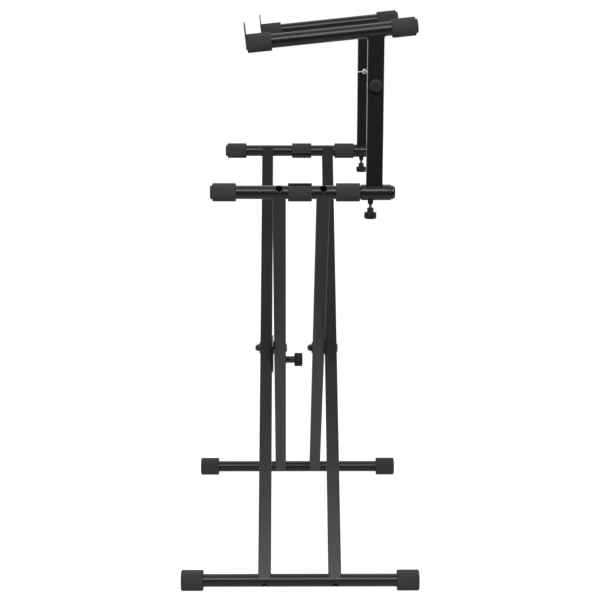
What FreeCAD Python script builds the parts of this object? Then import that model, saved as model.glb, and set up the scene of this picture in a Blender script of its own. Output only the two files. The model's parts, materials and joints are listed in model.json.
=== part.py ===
import FreeCAD, Part
import math
import os
import types

import Sketcher

# Folding two-tier keyboard stand: two crossed frames on a pivot, each with a foot bar, a pair of
# square legs and a lower arm, and on each lower arm a bracket that carries an upper arm.
# The origin is on the floor under the pivot. X runs from the player's side (-X) to the back,
# Y across the stand (the player's right is -Y) and Z up. Lengths are in millimetres.

SIZES = [
    # tubes
    ("tube_dia", 25.0, "round tube of the foot bars and arms"),
    ("tube_wall", 1.5, "its wall"),
    ("leg_width", 25.0, "side of the square leg tube"),
    ("leg_wall", 1.5, "its wall"),
    ("leg_corner", 2.4, "outside corner of the square leg tube"),
    # crossed frames
    ("spread", 690.0, "distance across between the two foot bars, and between the two lower arms"),
    ("foot_axis_height", 19.85, "foot bar axis above the floor"),
    ("arm_axis_height", 782.0, "lower arm axis above the floor"),
    ("foot_bar_length", 464.0, "foot bar over its two caps"),
    ("outer_front_leg", 69.5, "front leg of the outer pair, towards the player from the middle"),
    ("outer_back_leg", 67.5, "back leg of the outer pair, behind the middle"),
    ("front_leg_gap", 4.3, "gap between the two front legs, with the locking disc in it"),
    ("back_leg_gap", 1.2, "gap between the two back legs"),
    ("fold_close", 78.0, "degrees that the frames close by from the standing position"),
    ("fold_open", 26.0, "degrees that they open by"),
    # leg end joints
    ("screw_dia", 8.0, "frame screw"),
    ("screw_head_dia", 12.5, "its socket head"),
    ("screw_head_height", 4.5, "height of that head"),
    ("screw_socket", 5.0, "hexagon socket across flats"),
    ("screw_socket_depth", 3.0, "depth of that socket"),
    ("screw_grip", 24.0, "length of the screw in the leg end"),
    ("access_dia", 14.0, "hole in the round tube that the screw goes in through"),
    ("insert_inset", 1.0, "threaded block's distance from the round tube"),
    ("insert_length", 28.0, "threaded block in each leg end"),
    # rubber on the foot bars
    ("foot_cap_dia", 40.5, "foot cap over its ribs"),
    ("foot_cap_length", 43.0, "foot cap"),
    ("foot_cap_end", 4.0, "closed end of the foot cap"),
    ("foot_rib_count", 36, "ribs round the foot cap"),
    # rubber on the arms
    ("grip_dia", 33.8, "caps and grips of the arms over their ribs"),
    ("grip_length", 44.0, "grip sleeve"),
    ("grip_rib_count", 30, "ribs round a grip or arm cap"),
    ("grip_slit", 5.0, "slit that lets a grip open to go on the tube"),
    ("rib_depth", 0.9, "depth of the grooves between ribs"),
    ("arm_cap_length", 47.5, "closed arm cap over its nose"),
    ("arm_cap_wall", 3.0, "closed wall of the arm cap behind its nose"),
    ("nose_length", 4.0, "stepped nose of the arm cap"),
    ("nose_dia", 25.4, "that nose"),
    # lower arms
    ("arm_tube_length", 327.0, "lower arm tube"),
    ("right_arm_front", 160.2, "front end of the right arm tube, towards the player"),
    ("left_arm_front", 158.9, "front end of the left arm tube, towards the player"),
    ("right_mid_grip", -1.9, "middle of the right arm's middle grip"),
    ("right_back_grip", 86.6, "middle of the right arm's back grip"),
    ("left_mid_grip", 8.6, "middle of the left arm's middle grip"),
    ("left_back_grip", 105.9, "middle of the left arm's back grip, just ahead of its collar"),
    ("plug_dia", 25.3, "head of the tube plug"),
    ("plug_rim", 6.5, "length of that head"),
    ("plug_depth", 16.0, "part of the plug inside the tube"),
    ("plug_chamfer", 1.2, "edge of the plug"),
    # pivot
    ("pivot_bolt_dia", 8.0, "bolt that the frames turn on"),
    ("pivot_head_dia", 18.3, "low head of that bolt"),
    ("pivot_head_height", 2.5, "height of the head"),
    ("pivot_end", 0.8, "bolt end that stands out of the nut"),
    ("bush_dia", 12.0, "nylon bush in each inner leg"),
    ("bush_clearance", 0.05, "radial running clearance of the bush on the bolt"),
    ("pivot_clearance", 0.3, "side clearance between the turning legs and what is beside them"),
    ("pivot_play", 0.1, "side play of the pivot bolts"),
    ("nut_flats", 13.0, "pivot nut across flats"),
    ("nut_height", 5.6, "hexagon of the pivot nut"),
    ("nut_ring_dia", 11.4, "round locking end of that nut"),
    ("nut_ring_height", 2.4, "its height"),
    ("nut_washer_dia", 25.0, "washer under the pivot nut"),
    ("nut_washer_thick", 2.0, "its thickness"),
    ("spacer_dia", 28.0, "thin washer between two legs"),
    # lock
    ("lock_radius", 45.7, "circle that the lock holes and the plunger lie on"),
    ("disc_edge", 7.3, "locking disc beyond that circle"),
    ("disc_top", 15.0, "straight top edge of the locking disc above the pivot"),
    ("disc_thick", 2.5, "its thickness"),
    ("lock_hole_dia", 7.8, "lock hole"),
    ("lock_step", 13.0, "degrees between working lock holes"),
    ("pin_dia", 7.0, "lock pin"),
    ("pin_chamfer", 0.75, "edge of its tip"),
    ("pin_rod_dia", 5.0, "rod of the pin inside the spring"),
    ("pin_collar_dia", 10.4, "collar of the pin that the spring pushes"),
    ("pin_collar_thick", 2.0, "its thickness"),
    ("pin_clearance", 0.05, "radial running clearance of the pin"),
    ("plunger_travel", 6.0, "how far the pin moves into the disc and leg"),
    ("pin_withdrawn", 1.5, "space between the withdrawn pin and the disc"),
    ("housing_dia", 15.5, "boss of the plunger housing"),
    ("housing_neck_dia", 12.0, "neck of the housing inside the leg"),
    ("housing_length", 19.0, "boss outside the leg"),
    ("housing_wall", 2.0, "end wall of the spring chamber"),
    ("chamber_dia", 11.0, "spring chamber"),
    ("spring_wire", 1.0, "wire of the plunger spring"),
    ("spring_turns", 4.0, "its turns"),
    ("spring_dia", 8.6, "middle of its turns"),
    ("pull_knob_dia", 29.3, "pull knob"),
    ("pull_knob_length", 17.6, "pull knob"),
    ("pull_knob_start", 18.0, "knob's rim beyond the leg, with the pin withdrawn"),
    ("pull_knob_skirt", 7.2, "recess that slides over the boss"),
    ("pull_knob_clearance", 0.5, "radial clearance of the recess on the boss"),
    ("pull_knob_flutes", 10, "finger flutes round the knob"),
    ("flute_depth", 1.2, "depth of the flutes of both kinds of knob"),
    # second tier brackets
    ("right_post", 134.8, "middle of the right post behind the middle of the stand"),
    ("left_post", 150.5, "middle of the left post behind the middle of the stand"),
    ("collar_dia", 29.2, "collar on the lower arm"),
    ("collar_length", 55.4, "collar"),
    ("right_collar_behind", 3.4, "right collar's middle behind its post's middle"),
    ("left_collar_behind", 5.5, "left collar's middle behind its post's middle"),
    ("collar_clearance", 0.3, "radial clearance of the collar on the arm"),
    ("post_width", 30.0, "post, front to back"),
    ("post_depth", 20.0, "post, side to side"),
    ("post_wall", 1.5, "walls of the post and of the stub inside it"),
    ("post_corner", 2.4, "outside corner of the post"),
    ("post_clearance", 0.3, "clearance between the post and its stub, and its collar"),
    ("stub_corner", 2.0, "outside corner of the stub"),
    ("stub_top", 275.0, "top of the stub above the lower arm axis"),
    ("upper_rise", 294.0, "upper arm axis above the lower arm axis at the post"),
    ("upper_slope", 6.0, "degrees that the upper arm rises towards the back"),
    ("right_bolt_height", 196.0, "right height clamp bolt above the lower arm axis"),
    ("left_bolt_height", 181.0, "left height clamp bolt above the lower arm axis"),
    ("height_travel", 70.0, "height adjustment of the upper arm"),
    ("post_bolt_dia", 8.0, "height clamp bolt"),
    ("post_bolt_end", 15.0, "bolt beyond the post on the wing nut side"),
    ("bolt_head_dia", 23.0, "moulded round head of that bolt"),
    ("bolt_head_height", 9.0, "its height"),
    ("bolt_head_chamfer", 2.2, "its edge"),
    ("thread_clearance", 0.05, "radial clearance of a turning thread"),
    ("wing_hub_dia", 14.0, "base of the wing nut's hub"),
    ("wing_hub_top", 10.5, "top of the hub"),
    ("wing_hub_height", 8.5, "hub"),
    ("wing_span", 30.0, "wing nut over its wings"),
    ("wing_height", 13.0, "wing nut over its wings, along the bolt"),
    ("wing_thick", 2.6, "each wing"),
    ("wing_root", 0.4, "how far a wing reaches into the hub"),
    # upper arms
    ("upper_front", 235.7, "upper arm in front of the post, along the arm, over its lip"),
    ("upper_back", 75.6, "upper arm behind the post, along the arm, over its cap"),
    ("lip_thick", 2.0, "stop lip"),
    ("lip_above", 38.0, "lip above the arm axis"),
    ("lip_below", 11.0, "lip below the arm axis"),
    ("lip_width", 30.0, "lip, side to side"),
    ("lip_corner", 7.0, "corner of the lip"),
    # clamp screws under the collars
    ("clamp_ahead", 10.0, "clamp screw in front of the collar's middle"),
    ("clamp_dia", 6.0, "clamp screw"),
    ("clamp_gap", 0.3, "space between the screw's tip and the arm"),
    ("clamp_nut_flats", 10.0, "nut welded under the collar, across flats"),
    ("clamp_nut_bottom", 22.1, "bottom of that nut below the arm axis"),
    ("clamp_hub_top", 28.3, "top of the knob's hub below the arm axis"),
    ("clamp_hub_dia", 12.4, "that hub"),
    ("clamp_disc_top", 37.0, "top of the knob's disc below the arm axis"),
    ("clamp_disc_dia", 23.4, "that disc"),
    ("clamp_knob_bottom", 48.7, "bottom of the knob below the arm axis"),
    ("clamp_flutes", 8, "finger flutes round the knob"),
]

Vector = FreeCAD.Vector
Rotation = FreeCAD.Rotation
Placement = FreeCAD.Placement
X_AXIS = Vector(1, 0, 0)
Y_AXIS = Vector(0, 1, 0)
Z_AXIS = Vector(0, 0, 1)
NO_TURN = Rotation()
TO_BACK = Rotation(Y_AXIS, 90)                      # a piece's own Z points to +X
TO_FRONT = Rotation(Z_AXIS, 180).multiply(TO_BACK)  # its own Z points to -X, and its X down
OVER = 1.0                                          # how far a cutting shape passes a surface
KNOB_CROWN = 0.6                                    # share of a knob's rim between two flutes


class Size:
    """A length with both its value and the sheet formula that gives it."""

    def __init__(self, value, text):
        self.value = value
        self.text = text

    def __add__(self, other):
        return Size(self.value + value_of(other), f"({self.text} + {text_of(other)})")

    def __sub__(self, other):
        return Size(self.value - value_of(other), f"({self.text} - {text_of(other)})")

    def __mul__(self, other):
        return Size(self.value * value_of(other), f"({self.text} * {text_of(other)})")

    def __truediv__(self, other):
        return Size(self.value / value_of(other), f"({self.text} / {text_of(other)})")

    def __neg__(self):
        return Size(-self.value, f"(0 - {self.text})")


def value_of(item):
    return item.value if isinstance(item, Size) else float(item)


def text_of(item):
    return item.text if isinstance(item, Size) else repr(float(item))


def square_root(item):
    return Size(math.sqrt(item.value), f"sqrt({item.text})")


def at(x=0.0, y=0.0, z=0.0, turn=NO_TURN):
    return Placement(Vector(value_of(x), value_of(y), value_of(z)), turn)


doc = FreeCAD.newDocument("keyboard_stand")
sheet = doc.addObject("Spreadsheet::Sheet", "sizes")
for row, (alias, amount, meaning) in enumerate(SIZES, start=1):
    sheet.set(f"A{row}", alias)
    sheet.set(f"B{row}", str(amount))
    sheet.set(f"C{row}", meaning)
    sheet.setAlias(f"B{row}", alias)
doc.recompute()
size = types.SimpleNamespace(
    **{alias: Size(float(amount), f"sizes.{alias}") for alias, amount, meaning in SIZES}
)
nodes = {}


def keep(name, item, place=None):
    """Makes an object one of the stand's own pieces, under its node name."""
    item.Label = name
    if place is not None:
        item.Placement = place
    nodes[name] = item
    return item


# ---- solids from primitives -------------------------------------------------------------------

def rod(radius, length, place=None):
    """Cylinder along its own Z."""
    item = doc.addObject("Part::Cylinder", "rod")
    item.setExpression("Radius", text_of(radius))
    item.setExpression("Height", text_of(length))
    item.Placement = place or at()
    return item


def block(wide, deep, tall, bottom=0.0):
    """Box centred on its own Z axis, from bottom up."""
    item = doc.addObject("Part::Box", "block")
    item.setExpression("Length", text_of(wide))
    item.setExpression("Width", text_of(deep))
    item.setExpression("Height", text_of(tall))
    item.Placement = at(-value_of(wide) / 2, -value_of(deep) / 2, bottom)
    return item


def hexagon(flats, tall, place=None):
    """Hexagonal prism along its own Z, sized across its flats."""
    item = doc.addObject("Part::Prism", "hexagon")
    item.Polygon = 6
    item.setExpression("Circumradius", f"({text_of(flats)}) / sqrt(3)")
    item.setExpression("Height", text_of(tall))
    item.Placement = place or at()
    return item


def join(*items):
    item = doc.addObject("Part::MultiFuse", "joined")
    item.Shapes = list(items)
    return item


def cut(base, *tools):
    item = doc.addObject("Part::Cut", "cut")
    item.Base = base
    item.Tool = tools[0] if len(tools) == 1 else join(*tools)
    return item


def group(items):
    item = doc.addObject("Part::Compound", "group")
    item.Links = list(items)
    return item


# ---- solids from sketches ---------------------------------------------------------------------

def new_body():
    return doc.addObject("PartDesign::Body", "body")


def new_sketch(body, role, offset=None):
    """Sketch on one of the body's own origin planes, moved along that plane's normal."""
    sketch = body.newObject("Sketcher::SketchObject", "sketch")
    plane = next(item for item in body.Origin.OriginFeatures if item.Role == role)
    sketch.AttachmentSupport = [(plane, "")]
    sketch.MapMode = "FlatFace"
    if offset is not None:
        sketch.setExpression("AttachmentOffset.Base.z", text_of(offset))
    return sketch


def hold(sketch, kind, geometry, point, amount):
    """Fixes one coordinate of a sketch point, from the sketch's origin."""
    if not isinstance(amount, Size) and abs(amount) < 1e-9:
        axis = -2 if kind == "DistanceX" else -1
        sketch.addConstraint(Sketcher.Constraint("PointOnObject", geometry, point, axis))
        return
    limit = Sketcher.Constraint(kind, -1, 1, geometry, point, value_of(amount))
    index = sketch.addConstraint(limit)
    if isinstance(amount, Size):
        sketch.setExpression(f"Constraints[{index}]", amount.text)


def outline(sketch, points):
    """Closed outline of straight lines through points, each coordinate a sheet formula."""
    first = sketch.GeometryCount
    flat = [Vector(value_of(x), value_of(y), 0) for x, y in points]
    for start, end in zip(flat, flat[1:] + flat[:1]):
        sketch.addGeometry(Part.LineSegment(start, end))
    for step, (x, y) in enumerate(points):
        line = first + step
        following = first + (step + 1) % len(points)
        sketch.addConstraint(Sketcher.Constraint("Coincident", line, 2, following, 1))
        hold(sketch, "DistanceX", line, 1, x)
        hold(sketch, "DistanceY", line, 1, y)


def circle(sketch, radius, x=0.0, y=0.0):
    centre = Vector(value_of(x), value_of(y), 0)
    geometry = sketch.addGeometry(Part.Circle(centre, Z_AXIS, value_of(radius)))
    index = sketch.addConstraint(Sketcher.Constraint("Radius", geometry, value_of(radius)))
    sketch.setExpression(f"Constraints[{index}]", text_of(radius))
    hold(sketch, "DistanceX", geometry, 3, x)
    hold(sketch, "DistanceY", geometry, 3, y)


def rounded_rectangle(sketch, wide, tall, corner):
    """Rectangle with round corners, centred on the sketch's origin."""
    right, top = wide / 2, tall / 2
    side, end = right - corner, top - corner
    lines = [
        ((-side, -top), (side, -top), (side, -end)),
        ((right, -end), (right, end), (side, end)),
        ((side, top), (-side, top), (-side, end)),
        ((-right, end), (-right, -end), (-side, -end)),
    ]
    flat = [[Vector(value_of(x), value_of(y), 0) for x, y in points] for points in lines]
    first = sketch.GeometryCount
    for step, (start, stop, centre) in enumerate(flat):
        sketch.addGeometry(Part.LineSegment(start, stop))
        turn = math.radians(90 * (step - 1))
        bend = Part.Circle(centre, Z_AXIS, value_of(corner))
        sketch.addGeometry(Part.ArcOfCircle(bend, turn, turn + math.radians(90)))
    for step, (start, stop, centre) in enumerate(lines):
        line = first + step * 2
        arc = line + 1
        following = first + (step + 1) % len(lines) * 2
        for point, (x, y) in ((1, start), (2, stop)):
            hold(sketch, "DistanceX", line, point, x)
            hold(sketch, "DistanceY", line, point, y)
        sketch.addConstraint(Sketcher.Constraint("Coincident", line, 2, arc, 1))
        sketch.addConstraint(Sketcher.Constraint("Coincident", arc, 2, following, 1))
        index = sketch.addConstraint(Sketcher.Constraint("Radius", arc, value_of(corner)))
        sketch.setExpression(f"Constraints[{index}]", text_of(corner))


def pad(body, sketch, length, centred=False):
    item = body.newObject("PartDesign::Pad", "pad")
    item.Profile = sketch
    item.setExpression("Length", text_of(length))
    item.Midplane = centred
    return item


def pocket_through(body, sketch, both_ways=True, forward=False):
    """Cuts a sketch through the body: both ways, or only behind or in front of its plane."""
    item = body.newObject("PartDesign::Pocket", "pocket")
    item.Profile = sketch
    item.Type = 1
    item.Midplane = both_ways
    item.Reversed = forward
    return item


def revolved(body, points):
    """Turns a half section, given as (radius, height) points, about the body's Z axis."""
    sketch = new_sketch(body, "XZ_Plane")
    outline(sketch, points)
    item = body.newObject("PartDesign::Revolution", "turned")
    item.Profile = sketch
    item.ReferenceAxis = (sketch, ["V_Axis"])
    item.Angle = 360
    return sketch


def repeat_round(body, feature, axis_sketch, axis_name, count, angle=None):
    """Repeats a feature round an axis, evenly over a full turn or over an angle."""
    item = body.newObject("PartDesign::PolarPattern", "round")
    item.Originals = [feature]
    item.Axis = (axis_sketch, [axis_name])
    item.Angle = 360
    if angle is not None:
        item.setExpression("Angle", text_of(angle))
    item.setExpression("Occurrences", text_of(count))
    body.Tip = item
    return item


def pocket_deep(body, sketch, depth):
    """Cuts a sketch into the body, forward from its plane, to a depth."""
    item = body.newObject("PartDesign::Pocket", "pocket")
    item.Profile = sketch
    item.Reversed = True
    item.setExpression("Length", text_of(depth))
    return item


def ribbed_outline(sketch, radius, count, depth, crown=0.0):
    """Outline of a ribbed round section, its first rib on the sketch's X axis.
    crown is the share of the pitch that a rib's top takes; at 0 the ribs are pointed."""
    pitch = 2 * math.pi / value_of(count)
    outer = value_of(radius)
    inner = outer - value_of(depth)
    half_crown = crown * pitch / 2
    points = []
    for step in range(int(value_of(count))):
        middle = step * pitch
        tops = [middle] if crown == 0 else [middle - half_crown, middle + half_crown]
        points += [(outer * math.cos(turn), outer * math.sin(turn)) for turn in tops]
        groove = middle + pitch / 2
        points.append((inner * math.cos(groove), inner * math.sin(groove)))
    flat = [Vector(x, y, 0) for x, y in points]
    for start, end in zip(flat, flat[1:] + flat[:1]):
        line = sketch.addGeometry(Part.LineSegment(start, end))
        sketch.addConstraint(Sketcher.Constraint("Block", line))


# ---- where things are -------------------------------------------------------------------------

tube_r = size.tube_dia / 2
bore_r = tube_r - size.tube_wall
leg_bore = size.leg_width - size.leg_wall * 2
grip_r = size.grip_dia / 2
collar_r = size.collar_dia / 2
half_spread = size.spread / 2
half_rise = (size.arm_axis_height - size.foot_axis_height) / 2
pivot_height = size.foot_axis_height + half_rise
leg_reach = square_root(half_spread * half_spread + half_rise * half_rise)
lean = math.degrees(math.atan2(half_spread.value, half_rise.value))

outer_front_x = -size.outer_front_leg
outer_back_x = size.outer_back_leg
inner_front_x = outer_front_x + size.leg_width + size.front_leg_gap
inner_back_x = outer_back_x - size.leg_width - size.back_leg_gap

TO_LEFT = Rotation(X_AXIS, -lean)        # up along an outer leg, from the right foot bar
TO_RIGHT = Rotation(X_AXIS, lean)        # up along an inner leg, from the left foot bar
DOWN_FROM_LEFT = Rotation(X_AXIS, 180 - lean)
DOWN_FROM_RIGHT = Rotation(X_AXIS, 180 + lean)
RIGHT = -1                               # the player's right is towards -Y
LEFT = 1


# ---- crossed frames ---------------------------------------------------------------------------

def round_tube(name, length, front, side, height, legs, to_leg):
    """Tube along X with a screw hole towards each leg and an access hole opposite it."""
    holes = []
    for leg in legs:
        along = value_of(leg) - value_of(front)
        towards = at(along, turn=to_leg)
        away = at(along, turn=to_leg.multiply(Rotation(X_AXIS, 180)))
        holes.append(rod(size.screw_dia / 2, size.tube_dia, towards))
        holes.append(rod(size.access_dia / 2, size.tube_dia, away))
    outside = rod(tube_r, length, at(turn=TO_BACK))
    bore = rod(bore_r, length, at(turn=TO_BACK))
    keep(name, cut(outside, bore, *holes), at(front, side, height))


def square_leg(name, leg_x, turn, pivot_radius, lock_holes=()):
    """Square tube through the pivot, with its ends cut to sit on the round tubes.
    Each lock hole is (radius, y, z, towards the back) in the leg's own frame."""
    body = new_body()
    section = new_sketch(body, "XY_Plane")
    rounded_rectangle(section, size.leg_width, size.leg_width, size.leg_corner)
    rounded_rectangle(section, leg_bore, leg_bore, size.leg_corner - size.leg_wall)
    pad(body, section, leg_reach * 2, centred=True)
    across = new_sketch(body, "YZ_Plane")
    circle(across, tube_r, 0.0, leg_reach)
    circle(across, tube_r, 0.0, -leg_reach)
    circle(across, pivot_radius)
    pocket_through(body, across)
    for radius, y, z, to_back in lock_holes:
        hole = new_sketch(body, "YZ_Plane")
        circle(hole, radius, y, z)
        pocket_through(body, hole, both_ways=False, forward=to_back)
    keep(name, body, at(leg_x, 0, pivot_height, turn))


def leg_joints(name, legs, ends, make):
    """One solid at each end of each leg; ends holds (side, height, turn into the leg)."""
    solids = []
    for leg in legs:
        for side, height, turn in ends:
            solids.append(make(at(leg, side, height, turn)))
    keep(name, group(solids))


def leg_insert(place):
    """Threaded block in the leg's end."""
    body = new_body()
    section = new_sketch(body, "XY_Plane", tube_r + size.insert_inset)
    rounded_rectangle(section, leg_bore, leg_bore, size.leg_corner - size.leg_wall)
    circle(section, size.screw_dia / 2)
    pad(body, section, size.insert_length)
    body.Placement = place
    return body


def frame_screw(place):
    """Socket screw whose head bears on the inside of the round tube along two lines."""
    head_r = size.screw_head_dia / 2
    seat = square_root(bore_r * bore_r - head_r * head_r)
    head_top = seat - size.screw_head_height
    head = rod(head_r, size.screw_head_height, at(z=head_top))
    shank = rod(size.screw_dia / 2, tube_r + size.screw_grip - seat, at(z=seat))
    socket = hexagon(size.screw_socket, size.screw_socket_depth, at(z=head_top))
    item = cut(join(head, shank), socket)
    item.Placement = place
    return item


def foot_cap(name, side, turn, end_x):
    """Closed ribbed rubber cap with a narrow flat to stand on. Its own X points down."""
    radius = size.foot_cap_dia / 2
    body = new_body()
    section = new_sketch(body, "XY_Plane")
    ribbed_outline(section, radius, size.foot_rib_count, size.rib_depth)
    pad(body, section, size.foot_cap_length)
    bore = new_sketch(body, "XY_Plane")
    circle(bore, tube_r)
    pocket_deep(body, bore, size.foot_cap_length - size.foot_cap_end)
    flat = new_sketch(body, "XY_Plane")
    outline(flat, [
        (size.foot_axis_height, -radius),
        (radius + OVER, -radius),
        (radius + OVER, radius),
        (size.foot_axis_height, radius),
    ])
    pocket_through(body, flat)
    keep(name, body, at(end_x, side, size.foot_axis_height, turn))


def grip_sleeve(name, place, slit_turn=None):
    """Ribbed rubber sleeve with its bore on the tube, slit along one side where asked."""
    body = new_body()
    section = new_sketch(body, "XY_Plane")
    ribbed_outline(section, grip_r, size.grip_rib_count, size.rib_depth)
    circle(section, tube_r)
    pad(body, section, size.grip_length)
    if slit_turn is not None:
        slit = new_sketch(body, "XY_Plane")
        half = size.grip_slit / 2
        outline(slit, [(0.0, -half), (grip_r + OVER, -half), (grip_r + OVER, half), (0.0, half)])
        pocket_through(body, slit)
        place = place.multiply(at(turn=Rotation(Z_AXIS, slit_turn)))
    keep(name, body, place)


def arm_cap(name, place):
    """Closed ribbed rubber cap with a plain stepped nose; its mouth is at its own z = 0."""
    depth = size.arm_cap_length - size.nose_length
    body = new_body()
    section = new_sketch(body, "XY_Plane")
    ribbed_outline(section, grip_r, size.grip_rib_count, size.rib_depth)
    pad(body, section, depth)
    bore = new_sketch(body, "XY_Plane")
    circle(bore, tube_r)
    pocket_deep(body, bore, depth - size.arm_cap_wall)
    nose = new_sketch(body, "XY_Plane", depth)
    circle(nose, size.nose_dia / 2)
    pad(body, nose, size.nose_length)
    keep(name, body, place)


def tube_plug(name, place):
    """Black plug pressed into the open end of a lower arm; z = 0 is the tube's end."""
    head_r = size.plug_dia / 2
    edge = size.plug_chamfer
    body = new_body()
    revolved(body, [
        (0.0, -size.plug_depth),
        (bore_r, -size.plug_depth),
        (bore_r, 0.0),
        (head_r, 0.0),
        (head_r, size.plug_rim - edge),
        (head_r - edge, size.plug_rim),
        (0.0, size.plug_rim),
    ])
    keep(name, body, place)


def foot_bar(side_name, side, legs, to_leg):
    length = size.foot_bar_length - size.foot_cap_end * 2
    round_tube(f"{side_name}_foot_bar", length, -length / 2, side, size.foot_axis_height,
               legs, to_leg)
    mouth = size.foot_bar_length / 2 - size.foot_cap_length
    foot_cap(f"{side_name}_foot_cap_front", side, TO_FRONT, -mouth)
    foot_cap(f"{side_name}_foot_cap_back", side, TO_BACK, mouth)


def lower_arm(side_name, side, front, mid_grip, back_grip, legs, to_leg, slit_turns):
    height = size.arm_axis_height
    tube_front = -front
    round_tube(f"{side_name}_arm_tube", size.arm_tube_length, tube_front, side, height,
               legs, to_leg)
    cap_mouth = tube_front + size.arm_cap_length - size.nose_length - size.arm_cap_wall
    arm_cap(f"{side_name}_arm_cap", at(cap_mouth, side, height, TO_FRONT))
    grips = ((f"{side_name}_arm_grip_mid", mid_grip), (f"{side_name}_arm_grip_back", back_grip))
    for (name, middle), slit_turn in zip(grips, slit_turns):
        start = middle - size.grip_length / 2
        grip_sleeve(name, at(start, side, height, TO_BACK), slit_turn)
    tube_plug(f"{side_name}_arm_plug",
              at(tube_front + size.arm_tube_length, side, height, TO_BACK))


# ---- pivot and lock ---------------------------------------------------------------------------

bolt_r = size.pivot_bolt_dia / 2
outer_leg_face = outer_front_x + size.leg_width / 2
disc_face = outer_leg_face + size.disc_thick
lock_side = size.lock_radius.value * math.sin(math.radians(lean))
lock_drop = size.lock_radius.value * math.cos(math.radians(lean))
closed_angle = 2 * lean - size.fold_close.value


def ring(radius, hole, thick, place):
    item = cut(rod(radius, thick), rod(hole, thick))
    item.Placement = place
    return item


def pivot_bolt(head_x, end_x):
    """Bolt along -X with a low turned head; head_x is the bearing face under its head."""
    head = rod(size.pivot_head_dia / 2, size.pivot_head_height / 2,
               at(z=-size.pivot_head_height / 2))
    crown = doc.addObject("Part::Cone", "crown")
    crown.setExpression("Radius1", text_of(size.pivot_head_dia / 2 - size.pivot_head_height / 2))
    crown.setExpression("Radius2", text_of(size.pivot_head_dia / 2))
    crown.setExpression("Height", text_of(size.pivot_head_height / 2))
    crown.Placement = at(z=-size.pivot_head_height)
    shank = rod(bolt_r, head_x - end_x)
    item = join(crown, head, shank)
    item.Placement = at(head_x, 0, pivot_height, TO_FRONT)
    return item


def locking_disc():
    """Disc with a straight top edge, welded inside the outer front leg. It has a row of
    working holes and one for the closed stand."""
    body = new_body()
    radius = size.lock_radius + size.disc_edge
    face = new_sketch(body, "YZ_Plane")
    circle(face, radius)
    circle(face, bolt_r)
    pad(body, face, size.disc_thick)
    above = new_sketch(body, "YZ_Plane")
    outline(above, [
        (-radius - OVER, size.disc_top),
        (radius + OVER, size.disc_top),
        (radius + OVER, radius + OVER),
        (-radius - OVER, radius + OVER),
    ])
    pocket_through(body, above)
    plunger_angle = lean - 90
    closed = new_sketch(body, "YZ_Plane")
    angle = math.radians(plunger_angle - size.fold_close.value)
    circle(closed, size.lock_hole_dia / 2, size.lock_radius.value * math.cos(angle),
           size.lock_radius.value * math.sin(angle))
    pocket_through(body, closed)
    working = new_sketch(body, "YZ_Plane")
    reach = math.floor(size.fold_close.value / 2 / size.lock_step.value)
    count = reach + 1 + math.floor(size.fold_open.value / size.lock_step.value)
    angle = math.radians(plunger_angle - reach * size.lock_step.value)
    circle(working, size.lock_hole_dia / 2, size.lock_radius.value * math.cos(angle),
           size.lock_radius.value * math.sin(angle))
    first = pocket_through(body, working)
    repeat_round(body, first, working, "N_Axis", count, size.lock_step * (count - 1))
    keep("lock_disc", body, at(outer_leg_face, 0, pivot_height))


def pivot_pieces():
    inner_face = inner_front_x + size.leg_width / 2
    back_face = outer_back_x + size.leg_width / 2
    nut_height = size.nut_height + size.nut_ring_height
    nut_stack = size.nut_washer_thick + nut_height + size.pivot_end
    front_nut = outer_front_x - size.leg_width / 2
    back_nut = inner_back_x - size.leg_width / 2 - size.pivot_play
    keep("pivot_bolts", group([
        pivot_bolt(inner_face + size.pivot_play, front_nut - nut_stack),
        pivot_bolt(back_face, back_nut - nut_stack),
    ]))
    washers, nuts = [], []
    for face in (front_nut, back_nut):
        place = at(face, 0, pivot_height, TO_FRONT)
        washers.append(ring(size.nut_washer_dia / 2, bolt_r, size.nut_washer_thick, place))
        nut = cut(join(hexagon(size.nut_flats, size.nut_height),
                       rod(size.nut_ring_dia / 2, size.nut_ring_height, at(z=size.nut_height))),
                  rod(bolt_r, nut_height))
        nut.Placement = at(face - size.nut_washer_thick, 0, pivot_height, TO_FRONT)
        nuts.append(nut)
    keep("pivot_nut_washers", group(washers))
    keep("pivot_nuts", group(nuts))
    front_thick = size.front_leg_gap - size.disc_thick - size.pivot_clearance
    back_thick = size.back_leg_gap - size.pivot_clearance
    back_spacer_face = outer_back_x - size.leg_width / 2
    keep("pivot_spacers", group([
        ring(size.spacer_dia / 2, bolt_r, front_thick, at(disc_face, 0, pivot_height, TO_BACK)),
        ring(size.spacer_dia / 2, bolt_r, back_thick,
             at(back_spacer_face, 0, pivot_height, TO_FRONT)),
    ]))
    bushes = []
    for leg in (inner_front_x, inner_back_x):
        place = at(leg - size.leg_width / 2, 0, pivot_height, TO_BACK)
        bushes.append(ring(size.bush_dia / 2, bolt_r + size.bush_clearance, size.leg_width, place))
    keep("pivot_bushes", group(bushes))


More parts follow.
